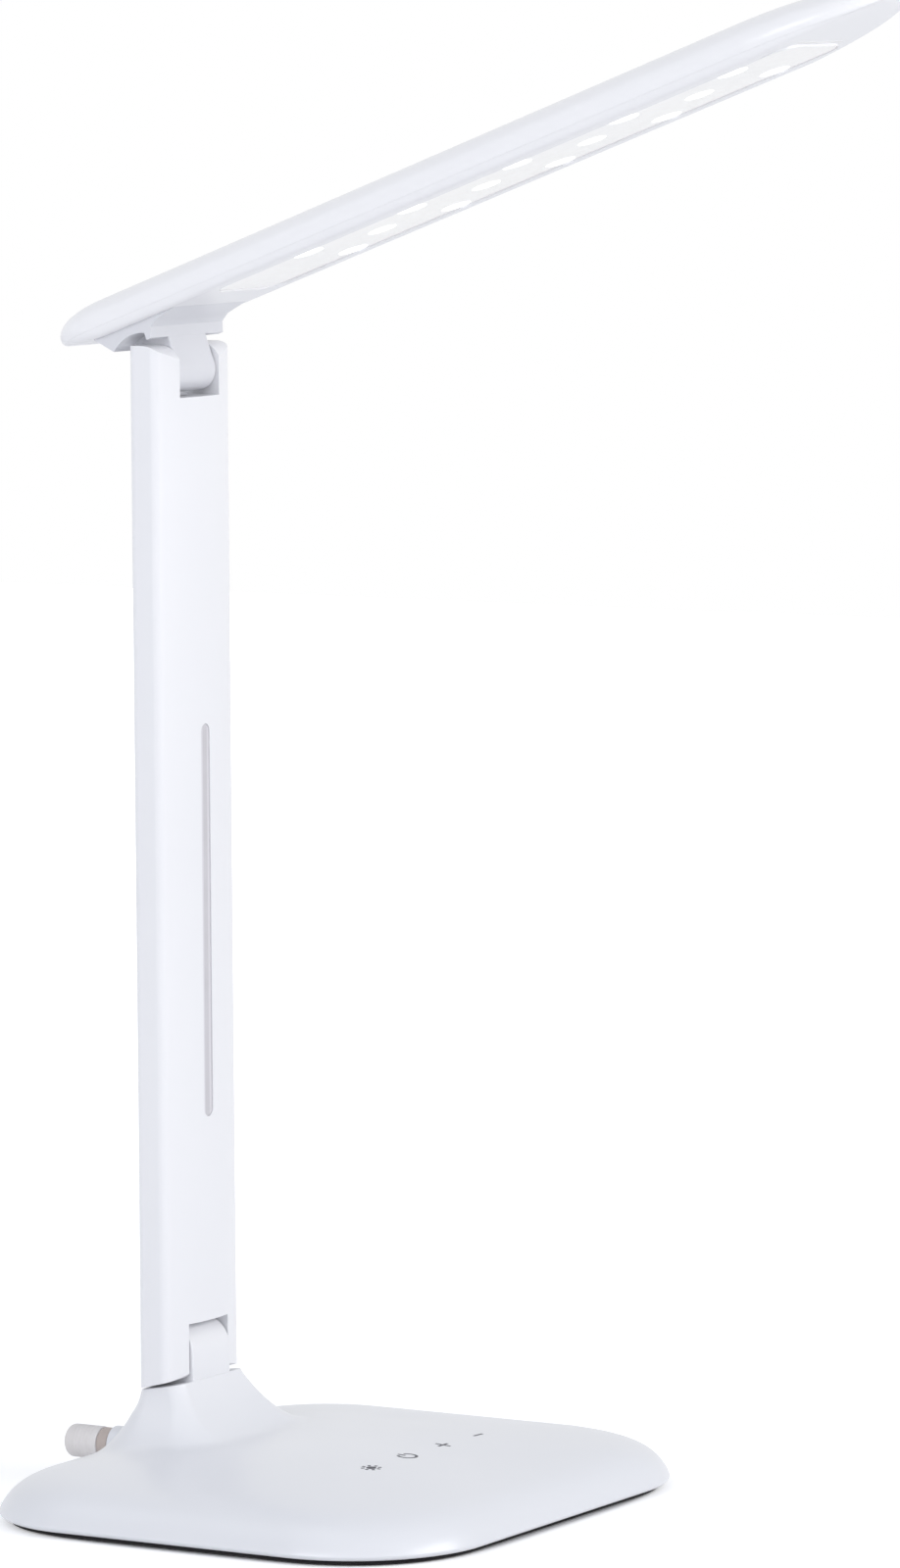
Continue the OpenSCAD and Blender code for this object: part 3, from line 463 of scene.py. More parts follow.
def make_arm_shells():
    body = column("arm_front", arm_outline(), -16, ARM_LEN + 12)
    side = [(ARM_Y + y, HINGE_Z + z) for y, z in arm_side()]
    cut(body, solid("side", [[(x, *p) for p in side] for x in (-30, 30)]), "INTERSECT")
    top = HINGE_Z + ARM_LEN - TOP_NOTCH
    for heights in ((HINGE_Z - 40, HINGE_Z + LOW_NOTCH), (top, top + 60)):
        cut(body, block("notch", (-NOTCH_HALF, NOTCH_HALF), (ARM_Y - 20, ARM_Y + 20), heights))
    lead_way = lathe_z([(HINGE_Z + 5, LEAD_WAY_R), (HINGE_Z + ARM_LEN, LEAD_WAY_R)], 32)
    cut(body, solid("lead_way", [[(x, ARM_Y + y, z) for x, y, z in ring] for ring in lead_way]))
    cut(body, inlay_slot("inlay_way", INLAY_R, INLAY_DEPTH))
    for x, z in ARM_SCREWS:
        way = [(ARM_Y + EAR_R - ARM_SCREW_SEAT, ARM_SCREW_WAY_R), (ARM_Y + EAR_R + 3, ARM_SCREW_WAY_R)]
        cut(body, solid("screw_way", lathe_y(way, x, HINGE_Z + z, 40)))
    rear = new_object("arm_rear", body.data.copy())
    for shell, depths in ((body, (ARM_Y - 30, ARM_Y)), (rear, (ARM_Y, ARM_Y + 30))):
        cut(shell, block("half", (-40, 40), depths, (0, 420)), "INTERSECT")
        round_edges(shell, 0.45, lambda a, b: abs(a.y - ARM_Y) < 0.01 and abs(b.y - ARM_Y) < 0.01)
    return body, rear


def make_arm_strip():
    """Inlay in the groove of the front shell, a little below the crown."""
    body = column("arm_strip", arm_outline(0.4), INLAY_LOW, INLAY_LOW + INLAY_LEN)
    cut(body, inlay_slot("strip_way", INLAY_R - 0.05, INLAY_DEPTH - 0.05), "INTERSECT")
    return round_edges(body, 0.2)


# ---------------------------------------------------------------- head
def end_share(t, power):
    return max(1 - (1 - t) ** power, 0.0) ** (1 / power)


def head_stations(inset=0.0):
    """(place towards the tail, rounding share along the end, thickness) from tail to tip."""
    fine = [(k / 30) ** 2.4 for k in range(31)]
    stations = [(HEAD_TAIL - inset - t * TAIL_ROUND, t, TAIL_THICK) for t in fine]
    start, end = HEAD_TAIL - inset - TAIL_ROUND, -HEAD_TIP + inset + TIP_ROUND
    for f in (k / 24 for k in range(1, 24)):
        stations.append((start + (end - start) * f, 1.0, TAIL_THICK + (HEAD_THICK - TAIL_THICK) * f))
    return stations + [(-HEAD_TIP + inset + t * TIP_ROUND, t, HEAD_THICK) for t in reversed(fine)]


def split_angle(low, mid):
    """Where the section is divided: at the split height, and a little above the lower face at both ends."""
    share = (HEAD_LOW + HEAD_MID - SPLIT_N) / max(mid - low, 1e-6)
    return max(25.0, math.degrees(math.acos(min(share, 1.0))))


def head_half_section(t, thick, inset):
    """Points of the right half of the crown's section, from the split up to the middle."""
    share = end_share(t, PLAN_POWER)
    half = (HEAD_HALF - inset) * share
    low, mid = HEAD_LOW + inset, HEAD_LOW + HEAD_MID
    top = mid + (thick - HEAD_MID - inset) * (0.1 + 0.9 * end_share(t, 2))
    low = low + (mid - low) * math.sqrt(max(1 - share, 0))
    edge = LOW_EDGE_IN * min(1.0, share * 1.5)
    points = []
    for a in np.radians(np.linspace(split_angle(low, mid), 90, 6)):
        points.append((half - edge * (1 - math.sin(a)), mid - (mid - low) * math.cos(a)))
    for a in np.radians(np.linspace(0, 90, 26)[1:]):
        points.append((half * max(math.cos(a), 0) ** (2 / SECTION_POWER), mid + (top - mid) * math.sin(a)))
    return [(max(p[0], 0.0), p[1]) for p in points]


def head_skin(inset):
    grid = []
    for place, t, thick in head_stations(inset):
        right = head_half_section(t, thick, inset)
        grid.append([(x, place, n) for x, n in right] + [(-x, place, n) for x, n in reversed(right[:-1])])
    return grid


def make_head_crown():
    """Outer and inner skin of the crown, joined along the split."""
    outer, inner = head_skin(0.0), head_skin(HEAD_WALL)
    rows, cols = len(outer), len(outer[0])
    faces, step = [], rows * cols
    for r in range(rows - 1):
        for a in range(r * cols, r * cols + cols - 1):
            faces.append((a, a + 1, a + cols + 1, a + cols))
            faces.append((a + step, a + step + cols, a + step + cols + 1, a + step + 1))
        for a in (r * cols, r * cols + cols - 1):
            faces.append((a, a + cols, a + cols + step, a + step))
    for a in (0, (rows - 1) * cols):
        faces.append((a, a + cols - 1, a + cols - 1 + step, a + step))
    parts = Parts()
    parts.add([p for row in outer + inner for p in row], faces)
    return head_piece(parts, "head_top")


def panel_outline(grow, count=18):
    """Rounded rectangle of the light panel in the head frame, as (x, place) pairs."""
    r = PANEL_CORNER + grow
    x, y0, y1 = PANEL_HALF + grow - r, -PANEL_START + grow - r, -PANEL_END - grow + r
    points = arc(x, y0, r, 0, 90, count) + arc(-x, y0, r, 90, 180, count)
    return points + arc(-x, y1, r, 180, 270, count) + arc(x, y1, r, 270, 360, count)


def head_edge(place):
    """(half width, width of the lower edge, low, middle) at a place along the head, tail positive."""
    t = (HEAD_TAIL - place) / TAIL_ROUND
    if t > 1:
        t = (place + HEAD_TIP) / TIP_ROUND
    share = end_share(min(max(t, 0.0), 1.0), PLAN_POWER)
    half, mid = HEAD_HALF * share, HEAD_LOW + HEAD_MID
    edge = LOW_EDGE_IN * min(1.0, max(half, 0.01) / HEAD_HALF * 1.5)
    return half, edge, HEAD_LOW + (mid - HEAD_LOW) * math.sqrt(max(1 - share, 0)), mid


def head_underside(x, place):
    """Height of the lower face at a point."""
    half, edge, low, mid = head_edge(place)
    out = min(max((half - abs(x)) / edge, 0.0), 1.0)
    return mid - (mid - low) * math.sqrt(max(1 - (1 - out) ** 2, 0.0))


def split_edge(place):
    """(half width, height) of the line where crown and frame meet."""
    half, edge, low, mid = head_edge(place)
    a = math.radians(split_angle(low, mid))
    return half - edge * (1 - math.sin(a)), mid - (mid - low) * math.cos(a)


def head_rays(outline):
    """For each point of the panel's outline: its foot on the middle line and its ray's end at the split."""
    start, end = -PANEL_START - PANEL_HALF, -PANEL_END + PANEL_HALF
    feet, ends = [], []
    for x, y in outline:
        foot = np.array([0.0, min(max(y, end), start)])
        way = np.array([x, y]) - foot
        way /= np.linalg.norm(way)

        def inside(r):
            q = foot + way * r
            return -HEAD_TIP < q[1] < HEAD_TAIL and abs(q[0]) < split_edge(q[1])[0]

        feet.append(foot)
        ends.append(foot + way * halve(inside, 0.0, 120.0, 46)[0])
    return np.array(feet), np.array(ends)


def spaced_panel(grow, side_step=2.2, end_step=0.45):
    """The panel's outline divided evenly: widely along the sides, closely along the two ends."""
    corners = panel_outline(grow, 44)
    points = []
    for a, b in zip(corners, corners[1:] + corners[:1]):
        step = side_step if abs(b[1] - a[1]) > abs(b[0] - a[0]) else end_step
        count = max(1, int(math.hypot(b[0] - a[0], b[1] - a[1]) / step))
        points += [(a[0] + (b[0] - a[0]) * k / count, a[1] + (b[1] - a[1]) * k / count) for k in range(count)]
    return points


def make_head_rim():
    """Frame round the panel, from the seam below the crown over the lower face to the seat of the panel."""
    outline = spaced_panel(0.1)
    feet, ends = head_rays(outline)
    seat = np.array(outline)
    window = feet + (seat - feet) * (1 - WINDOW_LIP / np.linalg.norm(seat - feet, axis=1)[:, None])
    rings = []

    def level(points, heights):
        rings.append([(*p, n) for p, n in zip(points, np.broadcast_to(heights, len(points)))])

    seam = np.array([split_edge(q[1])[1] for q in ends])
    length = np.linalg.norm(seat - ends, axis=1)[:, None]
    level(ends + (feet - ends) * 0.012, seam - SEAM_GAP)
    for u in [0.0] + [0.5 * (k / 16) ** 1.9 for k in range(1, 17)] + [0.5 + k / 18 for k in range(1, 10)]:
        p = ends + (window - ends) * u
        level(p, [min(head_underside(*q), h - 0.03) for q, h in zip(p, seam)])
    last = window + (feet - window) * 0.006
    for n in (HEAD_LOW + 0.16, HEAD_LOW + 0.5, PANEL_LOW):
        level(last, n)
    level(seat, PANEL_LOW)
    level(seat, SPLIT_N - 0.1)
    frame_wall = seat + (ends - seat) * (1.5 / length)
    level(frame_wall, SPLIT_N - 0.1)
    level(frame_wall, HEAD_LOW + HEAD_WALL)
    for gap in (0.75, 0.5, 0.25):
        p = ends + (frame_wall - ends) * gap
        level(p, [max(HEAD_LOW + HEAD_WALL, head_underside(*q) + 1.3) for q in p])
    level(ends + (seat - ends) * (HEAD_WALL / length), seam - SEAM_GAP)
    parts = Parts()
    parts.hoop(rings)
    return head_piece(parts, "head_frame")


def make_light_panel():
    """Frosted panel whose middle stands down into the window of the head frame."""
    levels = ((0.0, 18.2), (0.0, 18.1), (0.0, 17.25), (0.1, 17.08), (0.3, 17.0), (2.3, 17.0), (2.33, 16.62),
              (2.5, 16.5))
    rings = [[(x, y, n) for x, y in panel_outline(-inset)] for inset, n in levels]
    middle = panel_outline(-8.9)
    rings += [[(x * (1 - inset / 22), y, levels[-1][1]) for x, y in middle] for inset in (10.0, 19.5)]
    parts = Parts()
    parts.rings(rings)
    return head_piece(parts, "light_window")


def make_knuckle():
    """Knuckle under the head: a shaped block with a round tongue that turns on the arm's hinge."""
    r = KNUCKLE_CLEAR_R
    outline = [(14, 17.3), (14, 16), (11.7, 13.8), (8.2, math.sqrt(r**2 - 8.2**2))]
    outline += arc(0, 0, r, math.degrees(math.acos(8.2 / r)), math.degrees(math.acos(-5 / r)), 14)[1:]
    outline += [(-5, 9.6), (-7, 9.6), (-8, 13), (-11, 14.8), (-19, 16), (-19, 17.3)]
    parts = Parts()
    parts.add(*bar_x(outline, KNUCKLE_HALF))
    tongue = arc(0, 0, TONGUE_R, 180, 360, 33) + [(TONGUE_R, 15.9), (-TONGUE_R, 15.9)]
    parts.rings(prism_x(resample(tongue, 120), TONGUE_HALF, 0.6))
    return round_edges(head_piece(parts, "head_knuckle_cover"), 0.4)


# ---------------------------------------------------------------- node trees
class Graph:
    """Short ways to add and join the nodes of one tree."""

    def __init__(self, tree):
        self.tree = tree

    def put(self, socket, value):
        """Gives an input a constant, or joins it to an output or to a node's first output."""
        if isinstance(value, bpy.types.Node):
            value = value.outputs[0]
        if isinstance(value, bpy.types.NodeSocket):
            self.tree.links.new(value, socket)
        elif isinstance(value, tuple) and socket.type == "RGBA":
            socket.default_value = (*value, 1.0)
        else:
            socket.default_value = value

    def add(self, kind, inputs=None, **settings):
        """New node with its settings and its inputs, each by name or number."""
        node = self.tree.nodes.new(kind)
        for name, value in settings.items():
            setattr(node, name, value)
        for key, value in (inputs or {}).items():
            self.put(node.inputs[key], value)
        return node

    def sum(self, how, a, b=0.0):
        return self.add("ShaderNodeMath", {0: a, 1: b}, operation=how).outputs[0]

    def vector(self, **axes):
        return self.add("ShaderNodeCombineXYZ", axes).outputs[0]

    def split(self, vector):
        return self.add("ShaderNodeSeparateXYZ", {0: vector}).outputs

    def spread(self, value, low, high, start=0.3, end=0.7):
        """Maps start to low and end to high."""
        span = {"Value": value, "From Min": start, "From Max": end, "To Min": low, "To Max": high}
        return self.add("ShaderNodeMapRange", span).outputs[0]


def new_tree(name, sockets):
    """Geometry tree with named inputs: its graph and the outputs of its input node."""
    tree = bpy.data.node_groups.new(name, "GeometryNodeTree")
    for label, kind, value in sockets:
        socket = tree.interface.new_socket(label, in_out="INPUT", socket_type="NodeSocket" + kind)
        if value is not None:
            socket.default_value = value
    tree.interface.new_socket("Geometry", in_out="OUTPUT", socket_type="NodeSocketGeometry")
    graph = Graph(tree)
    return graph, graph.add("NodeGroupInput").outputs


def end_tree(graph, shape, finish):
    """Turns the copies into one plain mesh with its finish."""
    real = graph.add("GeometryNodeRealizeInstances", {0: shape})
    paint = graph.add("GeometryNodeSetMaterial", {"Geometry": real, "Material": finish})
    graph.add("NodeGroupOutput", {0: paint})
    return graph.tree


def lens_tree():
    """Straight rows of flat round lenses at an even pitch, in metres."""
    g, given = new_tree("lens_rows", (
        ("Geometry", "Geometry", None), ("Lenses in a row", "Int", 5), ("Rows", "Int", 2),
        ("First", "Float", 0.0682), ("Pitch", "Float", 0.04125), ("Side step", "Float", 0.0136),
        ("Level", "Float", 0.017), ("Lens radius", "Float", 0.005), ("Lens height", "Float", 0.0003),
        ("Finish", "Material", None)))
    along = g.add("GeometryNodeMeshLine", {
        "Count": given["Lenses in a row"],
        "Start Location": g.vector(Y=g.sum("MULTIPLY", given["First"], -1.0), Z=given["Level"]),
        "Offset": g.vector(Y=g.sum("MULTIPLY", given["Pitch"], -1.0))})
    gaps = g.sum("SUBTRACT", given["Rows"], 1.0)
    across = g.add("GeometryNodeMeshLine", {
        "Count": given["Rows"],
        "Start Location": g.vector(X=g.sum("MULTIPLY", gaps, g.sum("MULTIPLY", given["Side step"], -1.0))),
        "Offset": g.vector(X=g.sum("MULTIPLY", given["Side step"], 2.0))})
    field = g.add("GeometryNodeInstanceOnPoints", {"Points": across, "Instance": along})
    spots = g.add("GeometryNodeRealizeInstances", {0: field})
    ball = g.add("GeometryNodeMeshUVSphere", {"Segments": 48, "Rings": 18, "Radius": given["Lens radius"]})
    ratio = g.sum("DIVIDE", given["Lens height"], given["Lens radius"])
    flat = g.add("GeometryNodeTransform", {"Geometry": ball, "Scale": g.vector(X=1.0, Y=1.0, Z=ratio)})
    smooth = g.add("GeometryNodeSetShadeSmooth", {0: flat})
    place = g.add("GeometryNodeInstanceOnPoints", {"Points": spots, "Instance": smooth})
    return end_tree(g, place, given["Finish"])


def screw_tree():
    """A copy of one screw on every point, each turned by chance about its own axis."""
    g, given = new_tree("screw_set", (
        ("Geometry", "Geometry", None), ("Screw", "Object", None), ("Lean", "Vector", None),
        ("Seed", "Int", 3), ("Finish", "Material", None)))
    screw = g.add("GeometryNodeObjectInfo", {"Object": given["Screw"]}).outputs["Geometry"]
    place = g.add("GeometryNodeInstanceOnPoints", {"Points": given["Geometry"], "Instance": screw})
    chance = g.add("FunctionNodeRandomValue", {3: 1.5, "Seed": given["Seed"]})
    turn = g.vector(Z=chance.outputs[1])
    lean = g.add("GeometryNodeRotateInstances", {"Instances": place, "Rotation": given["Lean"]})
    roll = g.add("GeometryNodeRotateInstances", {"Instances": lean, "Rotation": turn})
    return end_tree(g, roll, given["Finish"])


def grow(name, tree, values, points=()):
    """Runs a node tree and keeps its result as a plain mesh."""
    mesh = bpy.data.meshes.new(name)
    mesh.from_pydata([tuple(c * MM for c in p) for p in points], [], [])
    piece = new_object(name, mesh)
    rows = piece.modifiers.new("rows", "NODES")
    rows.node_group = tree
    for socket in tree.interface.items_tree:
        if socket.in_out == "INPUT" and socket.name in values:
            rows[socket.identifier] = values[socket.name]
    bpy.context.view_layer.update()
    return bake(piece)


screw_rows, lens_rows = screw_tree(), lens_tree()


def make_screw(head_r, head_t, shank_r, length):
    """One pan screw with a cross recess, its head at the origin and its shank upwards."""
    profile = [(0.0, head_r - 1.1), (0.07, head_r - 0.5), (0.3, head_r - 0.15), (0.7, head_r)]
    profile += [(head_t, head_r), (head_t, shank_r)]
    z, point = head_t + 0.5, length - 1.2
    while z + 0.8 < point:
        profile += [(z, shank_r), (z + 0.25, shank_r - 0.25), (z + 0.5, shank_r)]
        z += 0.8
    screw = solid("one_screw", lathe_z(profile + [(point, shank_r), (length, shank_r * 0.3)], 40))
    arm = head_r * 0.56
    for x, y in ((arm, 0.45), (0.45, arm)):
        cut(screw, block("cross", (-x, x), (-y, y), (-0.5, head_t * 0.55)))
    return shade(screw, 35)


def make_lenses(name, material, per_row, rows, first, radius):
    piece = grow(name, lens_rows, {
        "Lenses in a row": per_row, "Rows": rows, "First": first * MM, "Pitch": LED_PITCH * MM,
        "Side step": LED_HALF * MM, "Level": LENS_LEVEL * MM, "Lens radius": radius * MM,
        "Lens height": LENS_HEIGHT * MM, "Finish": material})
    corners = piece.data.vertices
    for vertex, place in zip(corners, on_head([tuple(c / MM for c in vertex.co) for vertex in corners])):
        vertex.co = place * MM
    piece.data.update()
    return piece


# ---------------------------------------------------------------- finishes
class Finish(Graph):
    """One material. Its patterns lie in the piece's own space, in metres."""

    def __init__(self, name, rough, metal=0.0, **fixed):
        self.material = bpy.data.materials.new(name)
        self.material.use_nodes = True
        super().__init__(self.material.node_tree)
        self.shader = self.tree.nodes["Principled BSDF"]
        self.set(Roughness=rough, Metallic=metal, **fixed)
        self.place = self.add("ShaderNodeTexCoord").outputs["Object"]

    def set(self, **values):
        """Gives the shader's inputs their values; a name's _ stands for a space."""
        for name, value in values.items():
            self.put(self.shader.inputs[name.replace("_", " ")], value)

    def stretched(self, scale):
        return self.add("ShaderNodeMapping", {"Vector": self.place, "Scale": scale}).outputs[0]

    def noise(self, scale, detail=3.0, vector=None, rough=0.5):
        place = self.place if vector is None else vector
        inputs = {"Vector": place, "Scale": scale, "Detail": detail, "Roughness": rough}
        return self.add("ShaderNodeTexNoise", inputs).outputs["Fac"]

    def cells(self, scale):
        return self.add("ShaderNodeTexVoronoi", {"Vector": self.place, "Scale": scale}).outputs["Distance"]

    def ramp(self, value, *stops):
        """Colours or greys at places between 0 and 1."""
        node = self.add("ShaderNodeValToRGB", {"Fac": value})
        elements = node.color_ramp.elements
        while len(elements) < len(stops):
            elements.new(0.5)
        for element, (spot, colour) in zip(elements, stops):
            element.position = spot
            element.color = (*(colour if isinstance(colour, tuple) else (colour,) * 3), 1.0)
        return node.outputs["Color"]

    def cloud(self, scale, detail, dark, pale, start=0.3, end=0.7):
        return self.ramp(self.noise(scale, detail), (start, dark), (end, pale))

    def blend(self, share, a, b, how="MIX"):
        return self.add("ShaderNodeMix", {0: share, 6: a, 7: b}, data_type="RGBA", blend_type=how).outputs[2]

    def edges(self, end=0.6):
        """1 on outer edges, 0 on flats."""
        return self.spread(self.add("ShaderNodeNewGeometry").outputs["Pointiness"], 0.0, 1.0, 0.53, end)

    def done(self, colour, rough, height, strength, depth):
        """Joins colour, roughness and relief to the shader."""
        bump = self.add("ShaderNodeBump", {"Height": height, "Strength": strength, "Distance": depth})
        self.set(Base_Color=colour, Roughness=rough, Normal=bump)
        return self.material


def gloss_white(name, tone=(0.81, 0.81, 0.835), bright=(0.835, 0.835, 0.855), low=None):
    """Moulded shell: glossy white with faint waviness; where a low colour is given, it is painted shade that
    makes the shell greyer near the desk.
    """
    f = Finish(name, 0.31, IOR=1.49, Coat_Weight=0.25, Coat_Roughness=0.2)
    base = f.cloud(7, 3, tone, bright, 0.25, 0.75)
    if low:
        # Painted shade: the low colour fills the piece below 18 mm and blends into its own tone by 46 mm,
        # standing in for the light falling off near the desk.
        base = f.blend(f.spread(f.split(f.place)["Z"], 0.0, 1.0, 0.018, 0.046), low, base)
    base = f.blend(0.22, base, f.ramp(f.cells(900), (0.0, 0.90), (0.06, 1.0)), "MULTIPLY")
    height = f.sum("ADD", f.noise(18, 1), f.sum("MULTIPLY", f.noise(2600, 2), 0.06))
    return f.done(base, f.spread(f.noise(30, 5), 0.285, 0.345), height, 0.03, 0.0004)


def frosted_panel(name):
    """Light panel: milky acrylic with a fine prism grain, lit from behind."""
    f = Finish(name, 0.5, IOR=1.49, Emission_Strength=0.34)
    f.set(Emission_Color=f.cloud(11, 2, (0.86, 0.86, 0.87), (0.93, 0.92, 0.89)))
    base = f.cloud(14, 3, (0.60, 0.60, 0.60), (0.66, 0.655, 0.645))
    return f.done(base, f.spread(f.noise(300, 3), 0.42, 0.58), f.cells(1700), 0.18, 0.0002)


def glowing_lens(name, hot, rim, strength):
    """Round lens over one light, in two tones of its own light."""
    f = Finish(name, 0.2, IOR=1.49, Emission_Strength=strength)
    f.set(Emission_Color=f.cloud(220, 2, rim, hot, 0.35, 0.6))
    base = f.cloud(160, 2, rim, hot)
    return f.done(base, f.spread(f.noise(500, 2), 0.15, 0.3), f.noise(900, 2), 0.1, 0.0002)


def soft_rubber(name):
    f = Finish(name, 0.8, Sheen_Weight=0.25, Sheen_Roughness=0.6)
    tone = f.cloud(120, 5, (0.012, 0.012, 0.013), (0.035, 0.035, 0.036), 0.3, 0.75)
    base = f.blend(f.edges(), tone, (0.07, 0.07, 0.068))
    return f.done(base, f.spread(f.noise(260, 4), 0.68, 0.9), f.noise(1500, 5), 0.35, 0.0002)


def black_plate(name):
    """Moulded black base plate with a spark-eroded grain."""
    f = Finish(name, 0.6, IOR=1.5, Specular_IOR_Level=0.06)
    tone = f.cloud(40, 4, (0.005, 0.004, 0.0045), (0.010, 0.008, 0.009))
    base = f.blend(f.edges(), tone, (0.03, 0.028, 0.03))
    return f.done(base, f.spread(f.noise(90, 4), 0.5, 0.68), f.noise(1900, 4, None, 0.65), 0.5, 0.0003)


def cast_iron(name):
    f = Finish(name, 0.62, 0.75)
    coat = f.cloud(55, 6, (0.045, 0.046, 0.05), (0.10, 0.10, 0.105), 0.3, 0.65)
    rust = f.sum("MULTIPLY", f.cloud(130, 6, 0.0, 1.0, 0.6, 0.75), 0.5)
    base = f.blend(rust, coat, (0.13, 0.065, 0.035))
    return f.done(base, f.spread(f.noise(160, 4), 0.5, 0.8), f.noise(700, 6, None, 0.6), 0.6, 0.0004)


def bright_metal(name, pale, dark, rough, stretch, scale=500):
    """Turned, drawn or plated metal with fine tool marks along one direction and brighter edges."""
    f = Finish(name, rough, 1.0)
    lines = f.noise(scale, 5, f.stretched(stretch), 0.6)
    base = f.blend(f.sum("MULTIPLY", lines, 0.4), f.cloud(60, 4, dark, pale), dark)
    base = f.blend(f.edges(0.58), base, (0.8, 0.8, 0.8))
    return f.done(base, f.sum("ADD", f.spread(lines, -0.05, 0.12), rough), lines, 0.25, 0.0001)


def circuit_board(name, mask, track, pitch=420):
    """Board with its solder mask over tracks, pads and drilled holes."""
    f = Finish(name, 0.38, IOR=1.5, Coat_Weight=0.3)
    wave = f.add("ShaderNodeTexWave", {
        "Vector": f.place, "Scale": pitch, "Distortion": 3.0, "Detail": 1.0, "Detail Scale": 0.3})
    lines = f.ramp(wave.outputs["Fac"], (0.46, 0.0), (0.54, 1.0))
    pads = f.ramp(f.cells(260), (0.0, 1.0), (0.14, 1.0), (0.17, 0.0))
    base = f.blend(pads, f.blend(lines, mask, track), (0.62, 0.60, 0.56))
    return f.done(base, f.spread(f.noise(200, 3), 0.3, 0.46), f.sum("ADD", lines, pads), 0.3, 0.0001)


def chip_black(name):
    f = Finish(name, 0.55, IOR=1.5)
    base = f.blend(f.edges(), f.cloud(240, 4, (0.018, 0.018, 0.02), (0.04, 0.04, 0.043)), (0.3, 0.29, 0.27))
    return f.done(base, f.spread(f.noise(400, 3), 0.45, 0.65), f.noise(2400, 4), 0.3, 0.0001)


def satin(name, pale, dark, rough):
    """Moulded part with a satin grain."""
    f = Finish(name, rough, IOR=1.48)
    base = f.blend(f.edges(), f.cloud(70, 4, dark, pale), tuple(min(c * 1.15, 0.95) for c in pale))
    return f.done(base, f.spread(f.noise(140, 4), rough - 0.07, rough + 0.08), f.noise(1500, 4), 0.22, 0.0002)


def lead_jacket(name):
    """Jacket of a thin lead, with its slight twist showing through."""
    f = Finish(name, 0.5, IOR=1.5)
    wave = f.add("ShaderNodeTexWave", {"Vector": f.stretched((1, 0.6, 0.8)), "Scale": 160, "Distortion": 1.5})
    base = f.cloud(200, 3, (0.012, 0.012, 0.013), (0.03, 0.03, 0.032))
    return f.done(base, f.spread(f.noise(180, 3), 0.4, 0.6), wave.outputs["Fac"], 0.3, 0.0002)


def marking_ink(name):
    """Printed touch mark: slate blue ink with a faint screen grain."""
    f = Finish(name, 0.5, IOR=1.5)
    base = f.cloud(900, 3, (0.022, 0.024, 0.04), (0.04, 0.043, 0.06))
    return f.done(base, f.spread(f.noise(700, 2), 0.4, 0.55), f.noise(1600, 2), 0.15, 0.0001)


SCREW_ZINC = (0.62, 0.62, 0.60), (0.40, 0.40, 0.39), 0.32
BRACKET_ZINC = (0.60, 0.61, 0.60), (0.38, 0.39, 0.39), 0.36
NICKEL = (0.66, 0.64, 0.60), (0.45, 0.43, 0.40), 0.28
SPRING_WIRE = (0.70, 0.69, 0.66), (0.46, 0.45, 0.43), 0.25
BRASS = (0.80, 0.60, 0.30), (0.55, 0.38, 0.16), 0.3
PIN_STEEL = (0.66, 0.66, 0.67), (0.44, 0.44, 0.45), 0.2
WASHER_STEEL = (0.58, 0.58, 0.58), (0.38, 0.38, 0.38), 0.35
ALUMINIUM = (0.80, 0.81, 0.82), (0.62, 0.63, 0.64), 0.3
LENGTHWAYS = (1, 1, 0.2)

metal_nodes = {
    "base_screws": ("base_screw_zinc", SCREW_ZINC, LENGTHWAYS),
    "board_screws": ("board_screw_nickel", NICKEL, LENGTHWAYS),
    "touch_springs": ("spring_wire", SPRING_WIRE, (1, 1, 4)),
    "arm_screws": ("arm_screw_zinc", SCREW_ZINC, (1, 0.2, 1)),
    "knuckle_screws": ("knuckle_screw_zinc", SCREW_ZINC, LENGTHWAYS),
    "rim_screws": ("rim_screw_zinc", SCREW_ZINC, LENGTHWAYS),
    "light_spreader": ("spreader_aluminium", ALUMINIUM, (1, 0.06, 1), 900),
}
for end in ("lower", "upper"):
    metal_nodes[end + "_bushes"] = (end + "_bush_brass", BRASS, (6, 1, 1))
    metal_nodes[end + "_hinge_bracket"] = (end + "_bracket_zinc", BRACKET_ZINC, (1, 5, 1))
    metal_nodes[end + "_hinge_pins"] = (end + "_pin_steel", PIN_STEEL, (8, 1, 1))
    metal_nodes[end + "_washers"] = (end + "_washer_steel", WASHER_STEEL, (1, 4, 1))
finishes = {node: bright_metal(name, *metal, *marks) for node, (name, metal, *marks) in metal_nodes.items()}
finishes.update({node: lead_jacket(node + "_jacket") for node in ("base_lead", "arm_lead", "head_lead")})
finishes.update({
    "base_plate": black_plate("plate_grain_black"),
    "foot_pads": soft_rubber("pad_soft_rubber"),
    "counterweight": cast_iron("weight_cast_iron"),
    "touch_board": circuit_board("touch_board_green", (0.015, 0.10, 0.045), (0.03, 0.17, 0.08)),
    "board_parts": chip_black("board_part_black"),
    "led_board": circuit_board("led_board_white", (0.74, 0.74, 0.72), (0.68, 0.67, 0.64), 300),
    "cool_leds": glowing_lens("cool_light_die", (0.95, 0.97, 1.0), (0.80, 0.86, 1.0), 1.2),
    "warm_leds": glowing_lens("warm_light_die", (1.0, 0.93, 0.70), (0.95, 0.80, 0.45), 1.1),
})
for node_name, material in finishes.items():
    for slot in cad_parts[node_name].material_slots:
        slot.material = material

white_arm = gloss_white("arm_gloss_white")
# Base: the white plastic with painted shade, greyer towards the desk.
white_base_painted_shade = gloss_white("base_gloss_white", low=(0.735, 0.745, 0.78))
# Head: the same white plastic painted lighter, as painted light.
white_head_painted_light = gloss_white("head_gloss_white", (0.85, 0.845, 0.865), (0.87, 0.868, 0.88))
